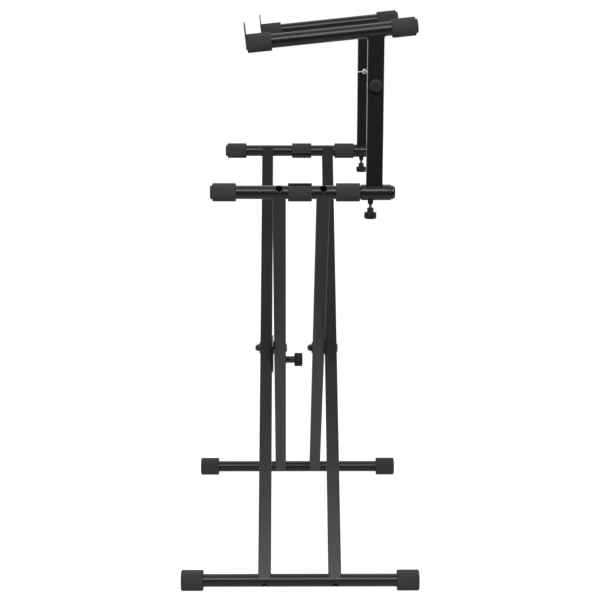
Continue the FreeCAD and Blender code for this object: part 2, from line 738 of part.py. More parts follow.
def plunger_pieces():
    """Spring plunger on the inner front leg. Its own z = 0 is that leg's back face."""
    face = inner_front_x + size.leg_width / 2
    place = at(face, lock_side, pivot_height.value - lock_drop, TO_BACK)
    pin_r = size.pin_dia / 2
    rod_r = size.pin_rod_dia / 2
    neck_end = size.leg_wall - size.leg_width
    chamber_start = size.housing_wall / 2
    chamber_end = size.housing_length - size.housing_wall
    boss_r = size.housing_dia / 2
    chamber_r = size.chamber_dia / 2

    housing = new_body()
    revolved(housing, [
        (pin_r + size.pin_clearance, neck_end),
        (size.housing_neck_dia / 2, neck_end),
        (size.housing_neck_dia / 2, 0.0),
        (boss_r, 0.0),
        (boss_r, size.housing_length),
        (rod_r + size.pin_clearance, size.housing_length),
        (rod_r + size.pin_clearance, chamber_end),
        (chamber_r, chamber_end),
        (chamber_r, chamber_start),
        (pin_r + size.pin_clearance, chamber_start),
    ])
    keep("plunger_housing", housing, place)

    tip = size.pin_withdrawn - size.front_leg_gap + size.disc_thick - size.leg_width
    collar = chamber_start + size.plunger_travel + size.pin_clearance
    collar_end = collar + size.pin_collar_thick
    knob_face = size.pull_knob_start
    skirt_end = knob_face + size.pull_knob_skirt
    knob_end = knob_face + size.pull_knob_length
    rod_end = (skirt_end + knob_end) / 2
    pin = new_body()
    revolved(pin, [
        (0.0, tip),
        (pin_r - size.pin_chamfer, tip),
        (pin_r, tip + size.pin_chamfer),
        (pin_r, collar),
        (size.pin_collar_dia / 2, collar),
        (size.pin_collar_dia / 2, collar_end),
        (rod_r, collar_end),
        (rod_r, rod_end),
        (0.0, rod_end),
    ])
    keep("plunger_pin", pin, place)

    knob = new_body()
    section = new_sketch(knob, "XY_Plane", knob_face)
    ribbed_outline(section, size.pull_knob_dia / 2, size.pull_knob_flutes, size.flute_depth, KNOB_CROWN)
    pad(knob, section, size.pull_knob_length)
    skirt = new_sketch(knob, "XY_Plane", knob_face)
    circle(skirt, boss_r + size.pull_knob_clearance)
    pocket_deep(knob, skirt, size.pull_knob_skirt)
    socket = new_sketch(knob, "XY_Plane", knob_face)
    circle(socket, rod_r)
    pocket_deep(knob, socket, rod_end - knob_face)
    keep("plunger_knob", knob, place)

    room = value_of(chamber_end) - value_of(collar_end)
    wire = size.spring_wire.value
    pitch = (room - wire) / size.spring_turns.value
    path = Part.makeHelix(pitch, room - wire, size.spring_dia.value / 2)
    middle = Vector(size.spring_dia.value / 2, 0, 0)
    corners = [middle + Vector(x, 0, z) * (wire / 2)
               for x, z in ((-1, -1), (1, -1), (1, 1), (-1, 1), (-1, -1))]
    section = Part.makePolygon(corners)
    spring = doc.addObject("Part::Feature", "spring")
    spring.Shape = Part.Wire(path).makePipeShell([section], True, True)
    lift = at(z=value_of(collar_end) + wire / 2)
    keep("plunger_spring", spring, place.multiply(lift))


# ---- second tier brackets ---------------------------------------------------------------------

def post_tube(wide, deep, corner, tall):
    """Rectangular tube with round corners, up from its own z = 0."""
    body = new_body()
    section = new_sketch(body, "XY_Plane")
    rounded_rectangle(section, wide, deep, corner)
    rounded_rectangle(section, wide - size.post_wall * 2, deep - size.post_wall * 2,
                      corner - size.post_wall)
    pad(body, section, tall)
    return body


def bracket(side_name, side_sign, post_x, collar_behind, bolt_height):
    """Collar, stub, telescoping post and sloping upper arm. Every piece is placed from the
    point on the lower arm's axis under the middle of the post."""
    side = half_spread * side_sign
    base = at(post_x, side, size.arm_axis_height)
    outward = Rotation(X_AXIS, -90 * side_sign)
    inward = Rotation(X_AXIS, 90 * side_sign)
    slope = Rotation(Y_AXIS, 90 - size.upper_slope.value)
    arm = base.multiply(at(z=size.upper_rise, turn=slope))

    def put(name, item, place):
        keep(f"{side_name}_{name}", item, base.multiply(place))

    def along_arm(name, item, start):
        keep(f"{side_name}_{name}", item, arm.multiply(at(z=start)))

    # collar with the clamp nut under it
    collar_start = collar_behind - size.collar_length / 2
    stem_r = size.clamp_dia / 2
    clamp_at = collar_behind - size.clamp_ahead
    collar_bore = tube_r + size.collar_clearance
    screw_way = rod(stem_r + size.collar_clearance, size.collar_dia,
                    at(clamp_at, turn=Rotation(X_AXIS, 180)))
    collar = cut(rod(collar_r, size.collar_length, at(collar_start, turn=TO_BACK)),
                 rod(collar_bore, size.collar_length, at(collar_start, turn=TO_BACK)),
                 screw_way)
    put("collar", collar, at())
    nut = cut(hexagon(size.clamp_nut_flats, size.clamp_nut_bottom, at(z=-size.clamp_nut_bottom)),
              rod(collar_r, size.collar_length, at(-size.collar_length / 2, turn=TO_BACK)),
              rod(stem_r + size.thread_clearance, size.clamp_nut_bottom,
                  at(z=-size.clamp_nut_bottom)))
    put("clamp_nut", nut, at(clamp_at))

    # stub welded on the collar, with a slot for the height clamp bolt
    stub_gap = size.post_wall * 2 + size.post_clearance * 2
    stub_width = size.post_width - stub_gap
    stub_depth = size.post_depth - stub_gap
    slot_r = size.post_bolt_dia / 2 + size.post_clearance
    slot_top = bolt_height + size.height_travel
    across = at(0, -size.post_depth, bolt_height, Rotation(X_AXIS, -90))
    across_top = at(0, -size.post_depth, slot_top, Rotation(X_AXIS, -90))
    slot_middle = block(slot_r * 2, size.post_depth * 2, size.height_travel,
                        bolt_height)
    stub = cut(post_tube(stub_width, stub_depth, size.stub_corner, size.stub_top),
               rod(collar_r, size.post_width * 2, at(-size.post_width, turn=TO_BACK)),
               rod(slot_r, size.post_depth * 2, across),
               rod(slot_r, size.post_depth * 2, across_top),
               slot_middle)
    put("post_stub", stub, at())

    # post: stands over the stub and is saddle cut under the upper arm
    bolt_hole = rod(size.post_bolt_dia / 2, size.post_depth * 2, across)
    post = cut(post_tube(size.post_width, size.post_depth, size.post_corner, size.upper_rise),
               rod(collar_r + size.post_clearance, size.post_width * 2,
                   at(-size.post_width, turn=TO_BACK)),
               rod(tube_r, size.post_width * 4,
                   at(z=size.upper_rise, turn=slope).multiply(at(z=-size.post_width * 2))),
               bolt_hole)
    put("post", post, at())

    # height clamp bolt with a moulded head outside, and its wing nut inside
    half_depth = size.post_depth / 2
    bolt_radius = size.post_bolt_dia / 2
    head_r = size.bolt_head_dia / 2
    edge = size.bolt_head_chamfer
    bolt = new_body()
    revolved(bolt, [
        (0.0, -half_depth - size.post_bolt_end),
        (bolt_radius, -half_depth - size.post_bolt_end),
        (bolt_radius, half_depth),
        (head_r, half_depth),
        (head_r, half_depth + size.bolt_head_height - edge),
        (head_r - edge, half_depth + size.bolt_head_height),
        (0.0, half_depth + size.bolt_head_height),
    ])
    put("post_bolt", bolt, at(z=bolt_height, turn=outward))
    put("wing_nut", wing_nut(),
        at(0, -(half_depth + size.thread_clearance) * side_sign, bolt_height, inward))

    # upper arm: tube, stop lip, front grip and back cap
    tube_back = size.upper_back - size.nose_length - size.arm_cap_wall
    lip_face = size.lip_thick - size.upper_front
    tube = cut(rod(tube_r, tube_back - lip_face), rod(bore_r, tube_back - lip_face))
    along_arm("upper_tube", tube, lip_face)
    lip = new_body()
    face = new_sketch(lip, "XY_Plane")
    half = size.lip_width / 2
    corner = size.lip_corner
    outline(face, [
        (-size.lip_above, corner - half),
        (corner - size.lip_above, -half),
        (size.lip_below, -half),
        (size.lip_below, half),
        (corner - size.lip_above, half),
        (-size.lip_above, half - corner),
    ])
    pad(lip, face, size.lip_thick)
    along_arm("stop_lip", lip, -size.upper_front)
    grip_sleeve(f"{side_name}_upper_grip", arm.multiply(at(z=lip_face)))
    arm_cap(f"{side_name}_upper_cap", arm.multiply(at(z=size.upper_back - size.arm_cap_length)))

    # clamp screw and its knob
    screw = rod(stem_r, (size.clamp_disc_top + size.clamp_knob_bottom) / 2 - tube_r
                - size.clamp_gap)
    down = Rotation(X_AXIS, 180)
    put("clamp_screw", screw, at(clamp_at, 0, -tube_r - size.clamp_gap, down))
    stem_end = (size.clamp_disc_top + size.clamp_knob_bottom) / 2
    knob = new_body()
    disc = new_sketch(knob, "XY_Plane", size.clamp_disc_top)
    ribbed_outline(disc, size.clamp_disc_dia / 2, size.clamp_flutes, size.flute_depth, KNOB_CROWN)
    pad(knob, disc, size.clamp_knob_bottom - size.clamp_disc_top)
    hub = new_sketch(knob, "XY_Plane", size.clamp_hub_top)
    circle(hub, size.clamp_hub_dia / 2)
    pad(knob, hub, size.clamp_disc_top - size.clamp_hub_top)
    socket = new_sketch(knob, "XY_Plane", size.clamp_hub_top)
    circle(socket, stem_r)
    pocket_deep(knob, socket, stem_end - size.clamp_hub_top)
    put("clamp_knob", knob, at(clamp_at, turn=down))


def wing_nut():
    """Wing nut with a turned hub; its own z = 0 is the face that bears on the post."""
    body = new_body()
    hole = size.post_bolt_dia / 2 + size.thread_clearance
    turned = revolved(body, [
        (hole, 0.0),
        (size.wing_hub_dia / 2, 0.0),
        (size.wing_hub_top / 2, size.wing_hub_height),
        (hole, size.wing_hub_height),
    ])
    wing = new_sketch(body, "XZ_Plane")
    span = size.wing_span / 2
    root = size.wing_hub_top / 2
    outline(wing, [
        (root - size.wing_root, size.wing_thick / 2),
        (root + size.wing_thick, size.wing_thick / 2),
        (span - size.wing_thick, size.wing_height / 2),
        (span, size.wing_height - size.wing_thick),
        (span - size.wing_thick / 2, size.wing_height),
        (span - size.wing_thick * 2, size.wing_height),
        (root - size.wing_root, size.wing_hub_height - size.wing_thick / 2),
    ])
    first = pad(body, wing, size.wing_thick, centred=True)
    repeat_round(body, first, turned, "V_Axis", 2)
    return body


# ---- the stand --------------------------------------------------------------------------------

right_side = half_spread * RIGHT
left_side = half_spread * LEFT
outer_legs = (outer_front_x, outer_back_x)
inner_legs = (inner_front_x, inner_back_x)
low = size.foot_axis_height
high = size.arm_axis_height

foot_bar("right", right_side, outer_legs, TO_LEFT)
foot_bar("left", left_side, inner_legs, TO_RIGHT)
lower_arm("right", right_side, size.right_arm_front, size.right_mid_grip, size.right_back_grip,
          inner_legs, DOWN_FROM_RIGHT, (207, 20))
lower_arm("left", left_side, size.left_arm_front, size.left_mid_grip, size.left_back_grip,
          outer_legs, DOWN_FROM_LEFT, (295, 65))

closed_turn = math.radians(closed_angle)
relief = (size.lock_hole_dia / 2, size.lock_radius.value * math.sin(closed_turn),
          -size.lock_radius.value * math.cos(closed_turn), True)
neck_hole = (size.housing_neck_dia / 2, 0.0, -size.lock_radius, True)
pin_hole = (size.pin_dia / 2 + size.pin_clearance, 0.0, -size.lock_radius, False)
square_leg("outer_leg_front", outer_front_x, TO_LEFT, bolt_r, [relief])
square_leg("outer_leg_back", outer_back_x, TO_LEFT, bolt_r)
square_leg("inner_leg_front", inner_front_x, TO_RIGHT, size.bush_dia / 2, [neck_hole, pin_hole])
square_leg("inner_leg_back", inner_back_x, TO_RIGHT, size.bush_dia / 2)

outer_ends = ((right_side, low, TO_LEFT), (left_side, high, DOWN_FROM_LEFT))
inner_ends = ((left_side, low, TO_RIGHT), (right_side, high, DOWN_FROM_RIGHT))
leg_joints("outer_leg_inserts", outer_legs, outer_ends, leg_insert)
leg_joints("outer_leg_screws", outer_legs, outer_ends, frame_screw)
leg_joints("inner_leg_inserts", inner_legs, inner_ends, leg_insert)
leg_joints("inner_leg_screws", inner_legs, inner_ends, frame_screw)

locking_disc()
pivot_pieces()
plunger_pieces()
bracket("right", RIGHT, size.right_post, size.right_collar_behind, size.right_bolt_height)
bracket("left", LEFT, size.left_post, size.left_collar_behind, size.left_bolt_height)

doc.recompute()

for item in doc.Objects:
    if "Invalid" in item.State or "Error" in item.State:
        raise RuntimeError(f"{item.Label} did not build: {item.State}")
for name, item in nodes.items():
    if item.Shape.isNull() or not item.Shape.isValid() or not item.Shape.Solids:
        raise RuntimeError(f"{name} has no valid solid")

os.makedirs("parts", exist_ok=True)
for name, item in nodes.items():
    item.Shape.exportStep(f"parts/{name}.step")
print(f"{len(nodes)} pieces written")
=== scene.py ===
import json
import math

import bmesh
import bpy
from bmesh.types import BMEdge, BMVert
from mathutils import Matrix, Vector


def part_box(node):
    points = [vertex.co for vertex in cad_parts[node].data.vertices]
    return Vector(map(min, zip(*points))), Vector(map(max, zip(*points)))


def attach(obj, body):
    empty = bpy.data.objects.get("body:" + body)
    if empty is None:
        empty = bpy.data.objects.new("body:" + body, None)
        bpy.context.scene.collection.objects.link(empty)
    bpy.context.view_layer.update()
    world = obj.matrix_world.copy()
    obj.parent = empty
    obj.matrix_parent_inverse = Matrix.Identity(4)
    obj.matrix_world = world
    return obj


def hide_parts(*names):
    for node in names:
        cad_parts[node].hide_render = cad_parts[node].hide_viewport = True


# Looks of a folding two-tier keyboard stand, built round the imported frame. Metres, +Z up,
# -X towards the player, the camera on the player's right.

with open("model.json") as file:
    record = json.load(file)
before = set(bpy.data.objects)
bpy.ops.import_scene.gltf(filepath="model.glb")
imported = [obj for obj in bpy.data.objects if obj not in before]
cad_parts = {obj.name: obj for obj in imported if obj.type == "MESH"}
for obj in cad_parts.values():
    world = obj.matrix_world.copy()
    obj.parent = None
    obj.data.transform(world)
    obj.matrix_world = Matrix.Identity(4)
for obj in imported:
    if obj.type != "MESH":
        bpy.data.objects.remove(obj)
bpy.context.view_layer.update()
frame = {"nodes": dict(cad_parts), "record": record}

MM = 0.001
MERGE = 1e-6                # points nearer than this become one
MERGE_FINE = 1e-7
X = Vector((1, 0, 0))
Y = Vector((0, 1, 0))
Z = Vector((0, 0, 1))

TUBE_R = 12.5 * MM          # round tubes
TUBE_WALL = 1.5 * MM
LEG_W = 25 * MM             # square legs
LEG_CORNER = 2.2 * MM
GRIP_R = 16.9 * MM          # ribbed rubber on the arms
FOOT_R = 20.25 * MM         # ribbed rubber on the foot bars
RIB_DEPTH = 0.8 * MM
GRIP_RIBS = 30
FOOT_RIBS = 36
SLOPE = math.radians(6)     # rise of the upper arms towards the back
UP_ARM = Vector((math.cos(SLOPE), 0, math.sin(SLOPE)))


# ---- finishes ---------------------------------------------------------------------------------

def node(tree, kind, **values):
    """New shader node. Each value is an input's default or else one of the node's settings."""
    item = tree.nodes.new(kind)
    for name, value in values.items():
        if name in item.inputs:
            item.inputs[name].default_value = value
        else:
            setattr(item, name, value)
    return item


def new_group(name, inputs, outputs):
    """Empty shader node group; inputs are (name, kind, default) and outputs (name, kind)."""
    group = bpy.data.node_groups.new(name, "ShaderNodeTree")
    for title, kind, default in inputs:
        socket = group.interface.new_socket(title, in_out="INPUT", socket_type=kind)
        if default is not None:
            socket.default_value = default
    for title, kind in outputs:
        group.interface.new_socket(title, in_out="OUTPUT", socket_type=kind)
    return group, group.nodes.new("NodeGroupInput"), group.nodes.new("NodeGroupOutput")


def wire(tree, *links):
    """Makes links; each one is (node, output, node, input)."""
    for start, output, end, into in links:
        tree.links.new(start.outputs[output], end.inputs[into])


VALUE = "NodeSocketFloat"
COLOUR = "NodeSocketColor"
VECTOR = "NodeSocketVector"


def mottle_group():
    """Two scales of soft noise that vary a base colour and a roughness over the surface."""
    group, given, out = new_group(
        "mottle",
        [("Place", VECTOR, None), ("Colour", COLOUR, (0.03, 0.03, 0.03, 1)),
         ("Light Colour", COLOUR, (0.05, 0.05, 0.05, 1)), ("Roughness", VALUE, 0.5),
         ("Roughness Spread", VALUE, 0.08), ("Patch Scale", VALUE, 9.0),
         ("Grain Scale", VALUE, 400.0)],
        [("Colour", COLOUR), ("Roughness", VALUE)])
    patches = node(group, "ShaderNodeTexNoise", Detail=4.0, Roughness=0.55)
    grain = node(group, "ShaderNodeTexNoise", Detail=2.0, Roughness=0.5)
    both = node(group, "ShaderNodeMath", operation="MULTIPLY_ADD")
    both.inputs[1].default_value = 0.35
    spread = node(group, "ShaderNodeMapRange", **{"From Min": 0.45, "From Max": 0.95})
    mix = node(group, "ShaderNodeMix", data_type="RGBA")
    rough = node(group, "ShaderNodeMath", operation="MULTIPLY_ADD")
    wire(group,
         (given, "Place", patches, "Vector"), (given, "Patch Scale", patches, "Scale"),
         (given, "Place", grain, "Vector"), (given, "Grain Scale", grain, "Scale"),
         (grain, "Fac", both, 0), (patches, "Fac", both, 2), (both, 0, spread, "Value"),
         (spread, 0, mix, "Factor"), (given, "Colour", mix, "A"),
         (given, "Light Colour", mix, "B"), (mix, "Result", out, "Colour"),
         (spread, 0, rough, 0), (given, "Roughness Spread", rough, 1),
         (given, "Roughness", rough, 2), (rough, 0, out, "Roughness"))
    return group


def grain_group():
    """Height of a fine surface grain over a coarser wave, for a bump."""
    group, given, out = new_group(
        "surface_grain",
        [("Place", VECTOR, None), ("Fine Scale", VALUE, 3000.0), ("Wave Scale", VALUE, 700.0),
         ("Wave Share", VALUE, 0.6)],
        [("Height", VALUE)])
    fine = node(group, "ShaderNodeTexNoise", Detail=2.0, Roughness=0.6)
    wave = node(group, "ShaderNodeTexNoise", Detail=1.0, Roughness=0.4)
    mix = node(group, "ShaderNodeMix", data_type="FLOAT")
    wire(group,
         (given, "Place", fine, "Vector"), (given, "Fine Scale", fine, "Scale"),
         (given, "Place", wave, "Vector"), (given, "Wave Scale", wave, "Scale"),
         (given, "Wave Share", mix, "Factor"), (fine, "Fac", mix, "A"),
         (wave, "Fac", mix, "B"), (mix, "Result", out, "Height"))
    return group


MOTTLE = mottle_group()
GRAIN = grain_group()
finishes = {}


def finish(name, colour, light, roughness, spread, fine, wave, share, depth,
           metallic=0.0, specular=0.5, patch=9.0):
    """Material whose colour and gloss vary through the mottle group, over a grain bump.
    fine, wave and share are the grain's scales and mix, and depth is its height in metres."""
    material = bpy.data.materials.new(name)
    material.use_nodes = True
    tree = material.node_tree
    shader = tree.nodes["Principled BSDF"]
    shader.inputs["Metallic"].default_value = metallic
    shader.inputs["Specular IOR Level"].default_value = specular
    place = node(tree, "ShaderNodeTexCoord")
    mottle = node(tree, "ShaderNodeGroup", node_tree=MOTTLE, **{
        "Colour": (*colour, 1), "Light Colour": (*light, 1), "Roughness": roughness,
        "Roughness Spread": spread, "Patch Scale": patch})
    grain = node(tree, "ShaderNodeGroup", node_tree=GRAIN, **{
        "Fine Scale": fine, "Wave Scale": wave, "Wave Share": share})
    bump = node(tree, "ShaderNodeBump", Strength=1.0, Distance=depth)
    wire(tree,
         (place, "Object", mottle, "Place"), (place, "Object", grain, "Place"),
         (mottle, "Colour", shader, "Base Color"), (mottle, "Roughness", shader, "Roughness"),
         (grain, "Height", bump, "Height"), (bump, "Normal", shader, "Normal"))
    finishes[name] = material


# Name, colour, light colour, roughness and its spread, then fine, wave, share and depth
finish("black_powder_coat", (0.0066, 0.0068, 0.0080), (0.0092, 0.0094, 0.0112), 0.29, 0.05,
       2600, 520, 0.7, 0.00009, specular=0.33)
finish("ribbed_rubber", (0.0175, 0.0175, 0.0192), (0.027, 0.027, 0.0295), 0.66, 0.10,
       2200, 300, 0.3, 0.00008, specular=0.4, patch=25)
finish("gloss_black_plastic", (0.007, 0.007, 0.008), (0.010, 0.010, 0.011), 0.22, 0.08,
       1500, 200, 0.5, 0.00001, specular=0.5)
finish("black_knob_plastic", (0.006, 0.006, 0.006), (0.009, 0.009, 0.009), 0.50, 0.08,
       1800, 900, 0.5, 0.00008, specular=0.26, patch=40)
finish("bolt_head_plastic", (0.0095, 0.0095, 0.0105), (0.0135, 0.0135, 0.0145), 0.42, 0.08,
       1800, 700, 0.5, 0.00005, specular=0.42, patch=40)
finish("bright_zinc", (0.84, 0.85, 0.87), (0.93, 0.94, 0.95), 0.26, 0.12,
       1200, 350, 0.6, 0.00010, metallic=1.0, patch=60)
finish("bright_steel", (0.52, 0.53, 0.54), (0.62, 0.63, 0.64), 0.24, 0.12,
       2500, 300, 0.3, 0.00003, metallic=1.0, patch=60)
finish("black_oxide_steel", (0.014, 0.014, 0.015), (0.024, 0.024, 0.026), 0.34, 0.12,
       2400, 500, 0.4, 0.00004, specular=0.5, patch=50)
finish("nylon", (0.035, 0.035, 0.036), (0.05, 0.05, 0.05), 0.45, 0.08,
       1600, 300, 0.5, 0.00003, patch=40)


# ---- making pieces ----------------------------------------------------------------------------

SHARP = math.radians(38)        # edges that turn by more than this stay sharp
SHARP_RIBS = math.radians(55)
SHARP_LOBES = math.radians(50)
SHARP_EARS = math.radians(45)
SHARP_BEAD = math.radians(80)
SHARP_CAD = math.radians(30)


def add_object(name, data):
    made = bpy.data.objects.new(name, data)
    bpy.context.scene.collection.objects.link(made)
    return made


def mesh_from(bm, name):
    """Mesh made from bm, which is freed."""
    mesh = bpy.data.meshes.new(name)
    bm.to_mesh(mesh)
    bm.free()
    return mesh


def placed(bm, place):
    bmesh.ops.transform(bm, matrix=place, verts=bm.verts)
    return bm


def face_out(bm):
    bmesh.ops.recalc_face_normals(bm, faces=bm.faces)
    return bm


def merge(bm, reach=MERGE):
    bmesh.ops.remove_doubles(bm, verts=bm.verts, dist=reach)


def only(kind, items):
    return [item for item in items if isinstance(item, kind)]


def frame_to(origin, axis, up=Z):
    """Matrix whose local Z lies along axis, with local X as near to up as it can be."""
    z = axis.normalized()
    x = (up - z * up.dot(z)).normalized()
    y = z.cross(x)
    turn = Matrix((x, y, z)).transposed().to_4x4()
    return Matrix.Translation(origin) @ turn


def piece(name, bm, body, slot, replaces=(), place=None, sharp=SHARP, keep_normals=False):
    """Makes a mesh piece from bm, rides it on a body and gives it a finish."""
    if place is not None:
        placed(bm, place)
    merge(bm)
    if not keep_normals:
        face_out(bm)
    mesh = mesh_from(bm, name)
    mesh.shade_smooth()
    mesh.set_sharp_from_angle(angle=sharp)
    mesh.materials.append(finishes[slot])
    made = add_object(name, mesh)
    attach(made, body)
    if replaces:
        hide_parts(*replaces)
    return made


def lathe(points, segments=64):
    """Turns a half section about Z. Each point is (radius, height), and more is ignored."""
    bm = bmesh.new()
    verts = [bm.verts.new((point[0], 0, point[1])) for point in points]
    edges = [bm.edges.new(pair) for pair in zip(verts, verts[1:])]
    bmesh.ops.spin(bm, geom=verts + edges, axis=Z, cent=(0, 0, 0), steps=segments,
                   angle=2 * math.pi, use_merge=True)
    merge(bm)
    return bm


def round_over(radius, height, edge, parts, steps, fade=0.0):
    """Quarter round between a side at radius and a face at height, as (radius, height, share)
    at some of its steps. The share falls from 1 by fade."""
    made = []
    for part in parts:
        turn = part / steps * math.pi / 2
        made.append((radius - edge * (1 - math.cos(turn)), height - edge * (1 - math.sin(turn)),
                     1.0 - fade * part / steps))
    return made


def first_ring(bm, count):
    verts = bmesh.ops.create_circle(bm, segments=count, radius=1.0)["verts"]
    return verts, list({edge for vert in verts for edge in vert.link_edges})


def next_ring(bm, edges):
    """Pulls a ring of edges out into another, and gives its points and edges."""
    made = bmesh.ops.extrude_edge_only(bm, edges=edges)["geom"]
    return only(BMVert, made), only(BMEdge, made)


def skin(stations, total, reach):
    """Skin through rings of points round Z. reach gives a point's radius and height from its
    ring's station and its turn."""
    bm = bmesh.new()
    verts, edges = first_ring(bm, total)
    for step, station in enumerate(stations):
        if step:
            verts, edges = next_ring(bm, edges)
        for vert in verts:
            turn = math.atan2(vert.co.y, vert.co.x)
            radius, height = reach(station, turn)
            vert.co = (radius * math.cos(turn), radius * math.sin(turn), height)
    merge(bm, MERGE_FINE)
    return bm


def fluted(stations, count, depth, shape):
    """Skin of a fluted round form: each station is (radius, height, how far it is fluted).
    shape gives the depth of the flute at even steps of one pitch, from 0 to 1."""
    total = count * len(shape)

    def reach(station, turn):
        radius, height, share = station
        step = round(turn / (2 * math.pi) * total) % total
        return radius - shape[step % len(shape)] * depth * share, height

    return skin(stations, total, reach)


def hexagonal(flats, stations):
    """Six-sided form: each station is (largest radius there, height), which chamfers it."""
    def reach(station, turn):
        limit, height = station
        off = (turn + math.pi / 6) % (math.pi / 3) - math.pi / 6
        return min(flats / 2 / math.cos(off), limit), height

    return skin(stations, 72, reach)


def threaded(radius, length, pitch, depth):
    """Threaded end: a rod up from z = 0 with a real helix, and a chamfered tip."""
    tip = depth * 1.6
    steps = max(2, round(length / pitch * 6))
    stations = [(length * step / steps, 1.0) for step in range(steps + 1)]
    stations.append((length, 0.0))

    def reach(station, turn):
        height, open_end = station
        if not open_end:
            return 0.0, height
        phase = (height / pitch - turn / (2 * math.pi)) % 1
        groove = depth * (1 - abs(phase * 2 - 1)) ** 1.2
        left = (length - height) / tip
        return radius - max(groove, depth * 1.3 * max(0.0, 1 - left)), height

    return skin(stations, 32, reach)


def swept(path, radii, ways, closed=False, sides=10):
    """Round bar along a path: radii and sideways directions are given at each of its points."""
    count = len(path)
    bm = bmesh.new()
    verts, edges = first_ring(bm, sides)
    order = {vert: math.atan2(vert.co.y, vert.co.x) for vert in verts}
    for step in range(count + 1 if closed else count):
        here = step % count
        before = path[(here - 1) % count] if closed or here else path[here]
        after = path[(here + 1) % count] if closed or here < count - 1 else path[here]
        along = (after - before).normalized()
        side = (ways[here] - along * ways[here].dot(along)).normalized()
        up = along.cross(side)
        if step:
            old = {tuple(round(value, 9) for value in vert.co): turn
                   for vert, turn in order.items()}
            verts, edges = next_ring(bm, edges)
            order = {vert: old[tuple(round(value, 9) for value in vert.co)] for vert in verts}
        for vert, turn in order.items():
            vert.co = path[here] + (side * math.cos(turn) + up * math.sin(turn)) * radii[here]
    if not closed:
        ends = [edge for edge in bm.edges if edge.is_boundary]
        bmesh.ops.holes_fill(bm, edges=ends, sides=sides)
    merge(bm, MERGE_FINE)
    return bm


def together(*parts):
    """One bmesh holding all the parts."""
    whole = parts[0]
    for part in parts[1:]:
        mesh = mesh_from(part, "joined")
        whole.from_mesh(mesh)
        bpy.data.meshes.remove(mesh)
    return whole


def soft_outline(points, steps=6):
    """Closed smooth curve through points in a plane."""
    made = []
    count = len(points)
    for here in range(count):
        p0, p1, p2, p3 = (Vector(points[(here + shift) % count]) for shift in (-1, 0, 1, 2))
        for part in range(steps):
            t = part / steps
            made.append((p1 * 2 + (p2 - p0) * t + (p0 * 2 - p1 * 5 + p2 * 4 - p3) * t * t
                         + (p1 * 3 - p0 - p2 * 3 + p3) * t ** 3) / 2)
    return made


def extrude_up(bm, length):
    """Pulls all faces up by a length, and gives the points at the top."""
    made = bmesh.ops.extrude_face_region(bm, geom=list(bm.faces))["geom"]
    top = only(BMVert, made)
    bmesh.ops.translate(bm, vec=(0, 0, length), verts=top)
    return top


def plate(points, thick, edge, steps=2):
    """Flat plate of an outline in XY, centred on z = 0, with its edges rounded."""
    bm = bmesh.new()
    verts = [bm.verts.new((x, y, -thick / 2)) for x, y in points]
    bm.faces.new(verts)
    extrude_up(bm, thick)
    rims = [line for line in bm.edges
            if abs(line.verts[0].co.z - line.verts[1].co.z) < thick / 10]
    bmesh.ops.bevel(bm, geom=rims, affect="EDGES", offset=edge, segments=steps, profile=0.5,
                    material=-1)
    return bm


def islands(node_name):
    """Boxes (low, high) of a CAD node's separate solids, from -X to +X."""
    bm = bmesh.new()
    bm.from_mesh(frame["nodes"][node_name].data)
    merge(bm)
    seen, boxes = set(), []
    for vert in bm.verts:
        if vert in seen:
            continue
        group, queue = [], [vert]
        seen.add(vert)
        while queue:
            here = queue.pop()
            group.append(here.co.copy())
            for edge in here.link_edges:
                other = edge.other_vert(here)
                if other not in seen:
                    seen.add(other)
                    queue.append(other)
        boxes.append([Vector([end(co[axis] for co in group) for axis in range(3)])
                      for end in (min, max)])
    bm.free()
    return sorted(boxes, key=lambda box: box[0].x)


RIB_SHAPE = (1.0, 0.45, 0.08, 0.0, 0.08, 0.45)
LOBE_SHAPE = (1.0, 0.9, 0.62, 0.28, 0.08, 0.0, 0.0, 0.0, 0.0, 0.08, 0.28, 0.62, 0.9)


def vertices_along(node_name, axis):
    """Lowest and highest reach of a CAD node along an axis through the origin."""
    reaches = [vert.co.dot(axis) for vert in frame["nodes"][node_name].data.vertices]
    return min(reaches), max(reaches)


def middle(node_name):
    low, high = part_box(node_name)
    return (low + high) / 2


def axis_point(centre, axis, reach):
    """Point on the line through centre along axis, at a reach from the origin's plane."""
    return centre + axis * (reach - centre.dot(axis))


def carve(bm, cutters):
    """bm with other closed meshes cut out of it."""
    base = add_object("carved", mesh_from(bm, "carved"))
    tools = []
    for cutter in cutters:
        tools.append(add_object("cutter", mesh_from(face_out(cutter), "cutter")))
        cut = base.modifiers.new("cut", "BOOLEAN")
        cut.operation = "DIFFERENCE"
        cut.solver = "EXACT"
        cut.object = tools[-1]
    shown = base.evaluated_get(bpy.context.evaluated_depsgraph_get())
    result = bmesh.new()
    result.from_mesh(shown.to_mesh())
    for item in [base] + tools:
        mesh = item.data
        bpy.data.objects.remove(item)
        bpy.data.meshes.remove(mesh)
    return result


def cylinder(radius, start, axis, length):
    """Closed cylinder from start along axis. Its seam faces a way that no axis here has."""
    bm = bmesh.new()
    bmesh.ops.create_cone(bm, cap_ends=True, segments=48, radius1=radius, radius2=radius,
                          depth=length)
    centre = start + axis.normalized() * length / 2
    return placed(bm, frame_to(centre, axis, Vector((0.3, 0.2, 1))))


# ---- tubes ------------------------------------------------------------------------------------

ACCESS_R = 7 * MM           # holes in the tubes for the screws' heads
ACCESS_LIP = 1.5 * MM       # radius of their rims


def tube_section(length):
    """Half section of a round tube with its end edges broken."""
    edge = 0.25 * MM
    bore = TUBE_R - TUBE_WALL
    return [(bore, edge), (bore + edge, 0), (TUBE_R - edge, 0), (TUBE_R, edge),
            (TUBE_R, length - edge), (TUBE_R - edge, length), (bore + edge, length),
            (bore, length - edge), (bore, edge)]


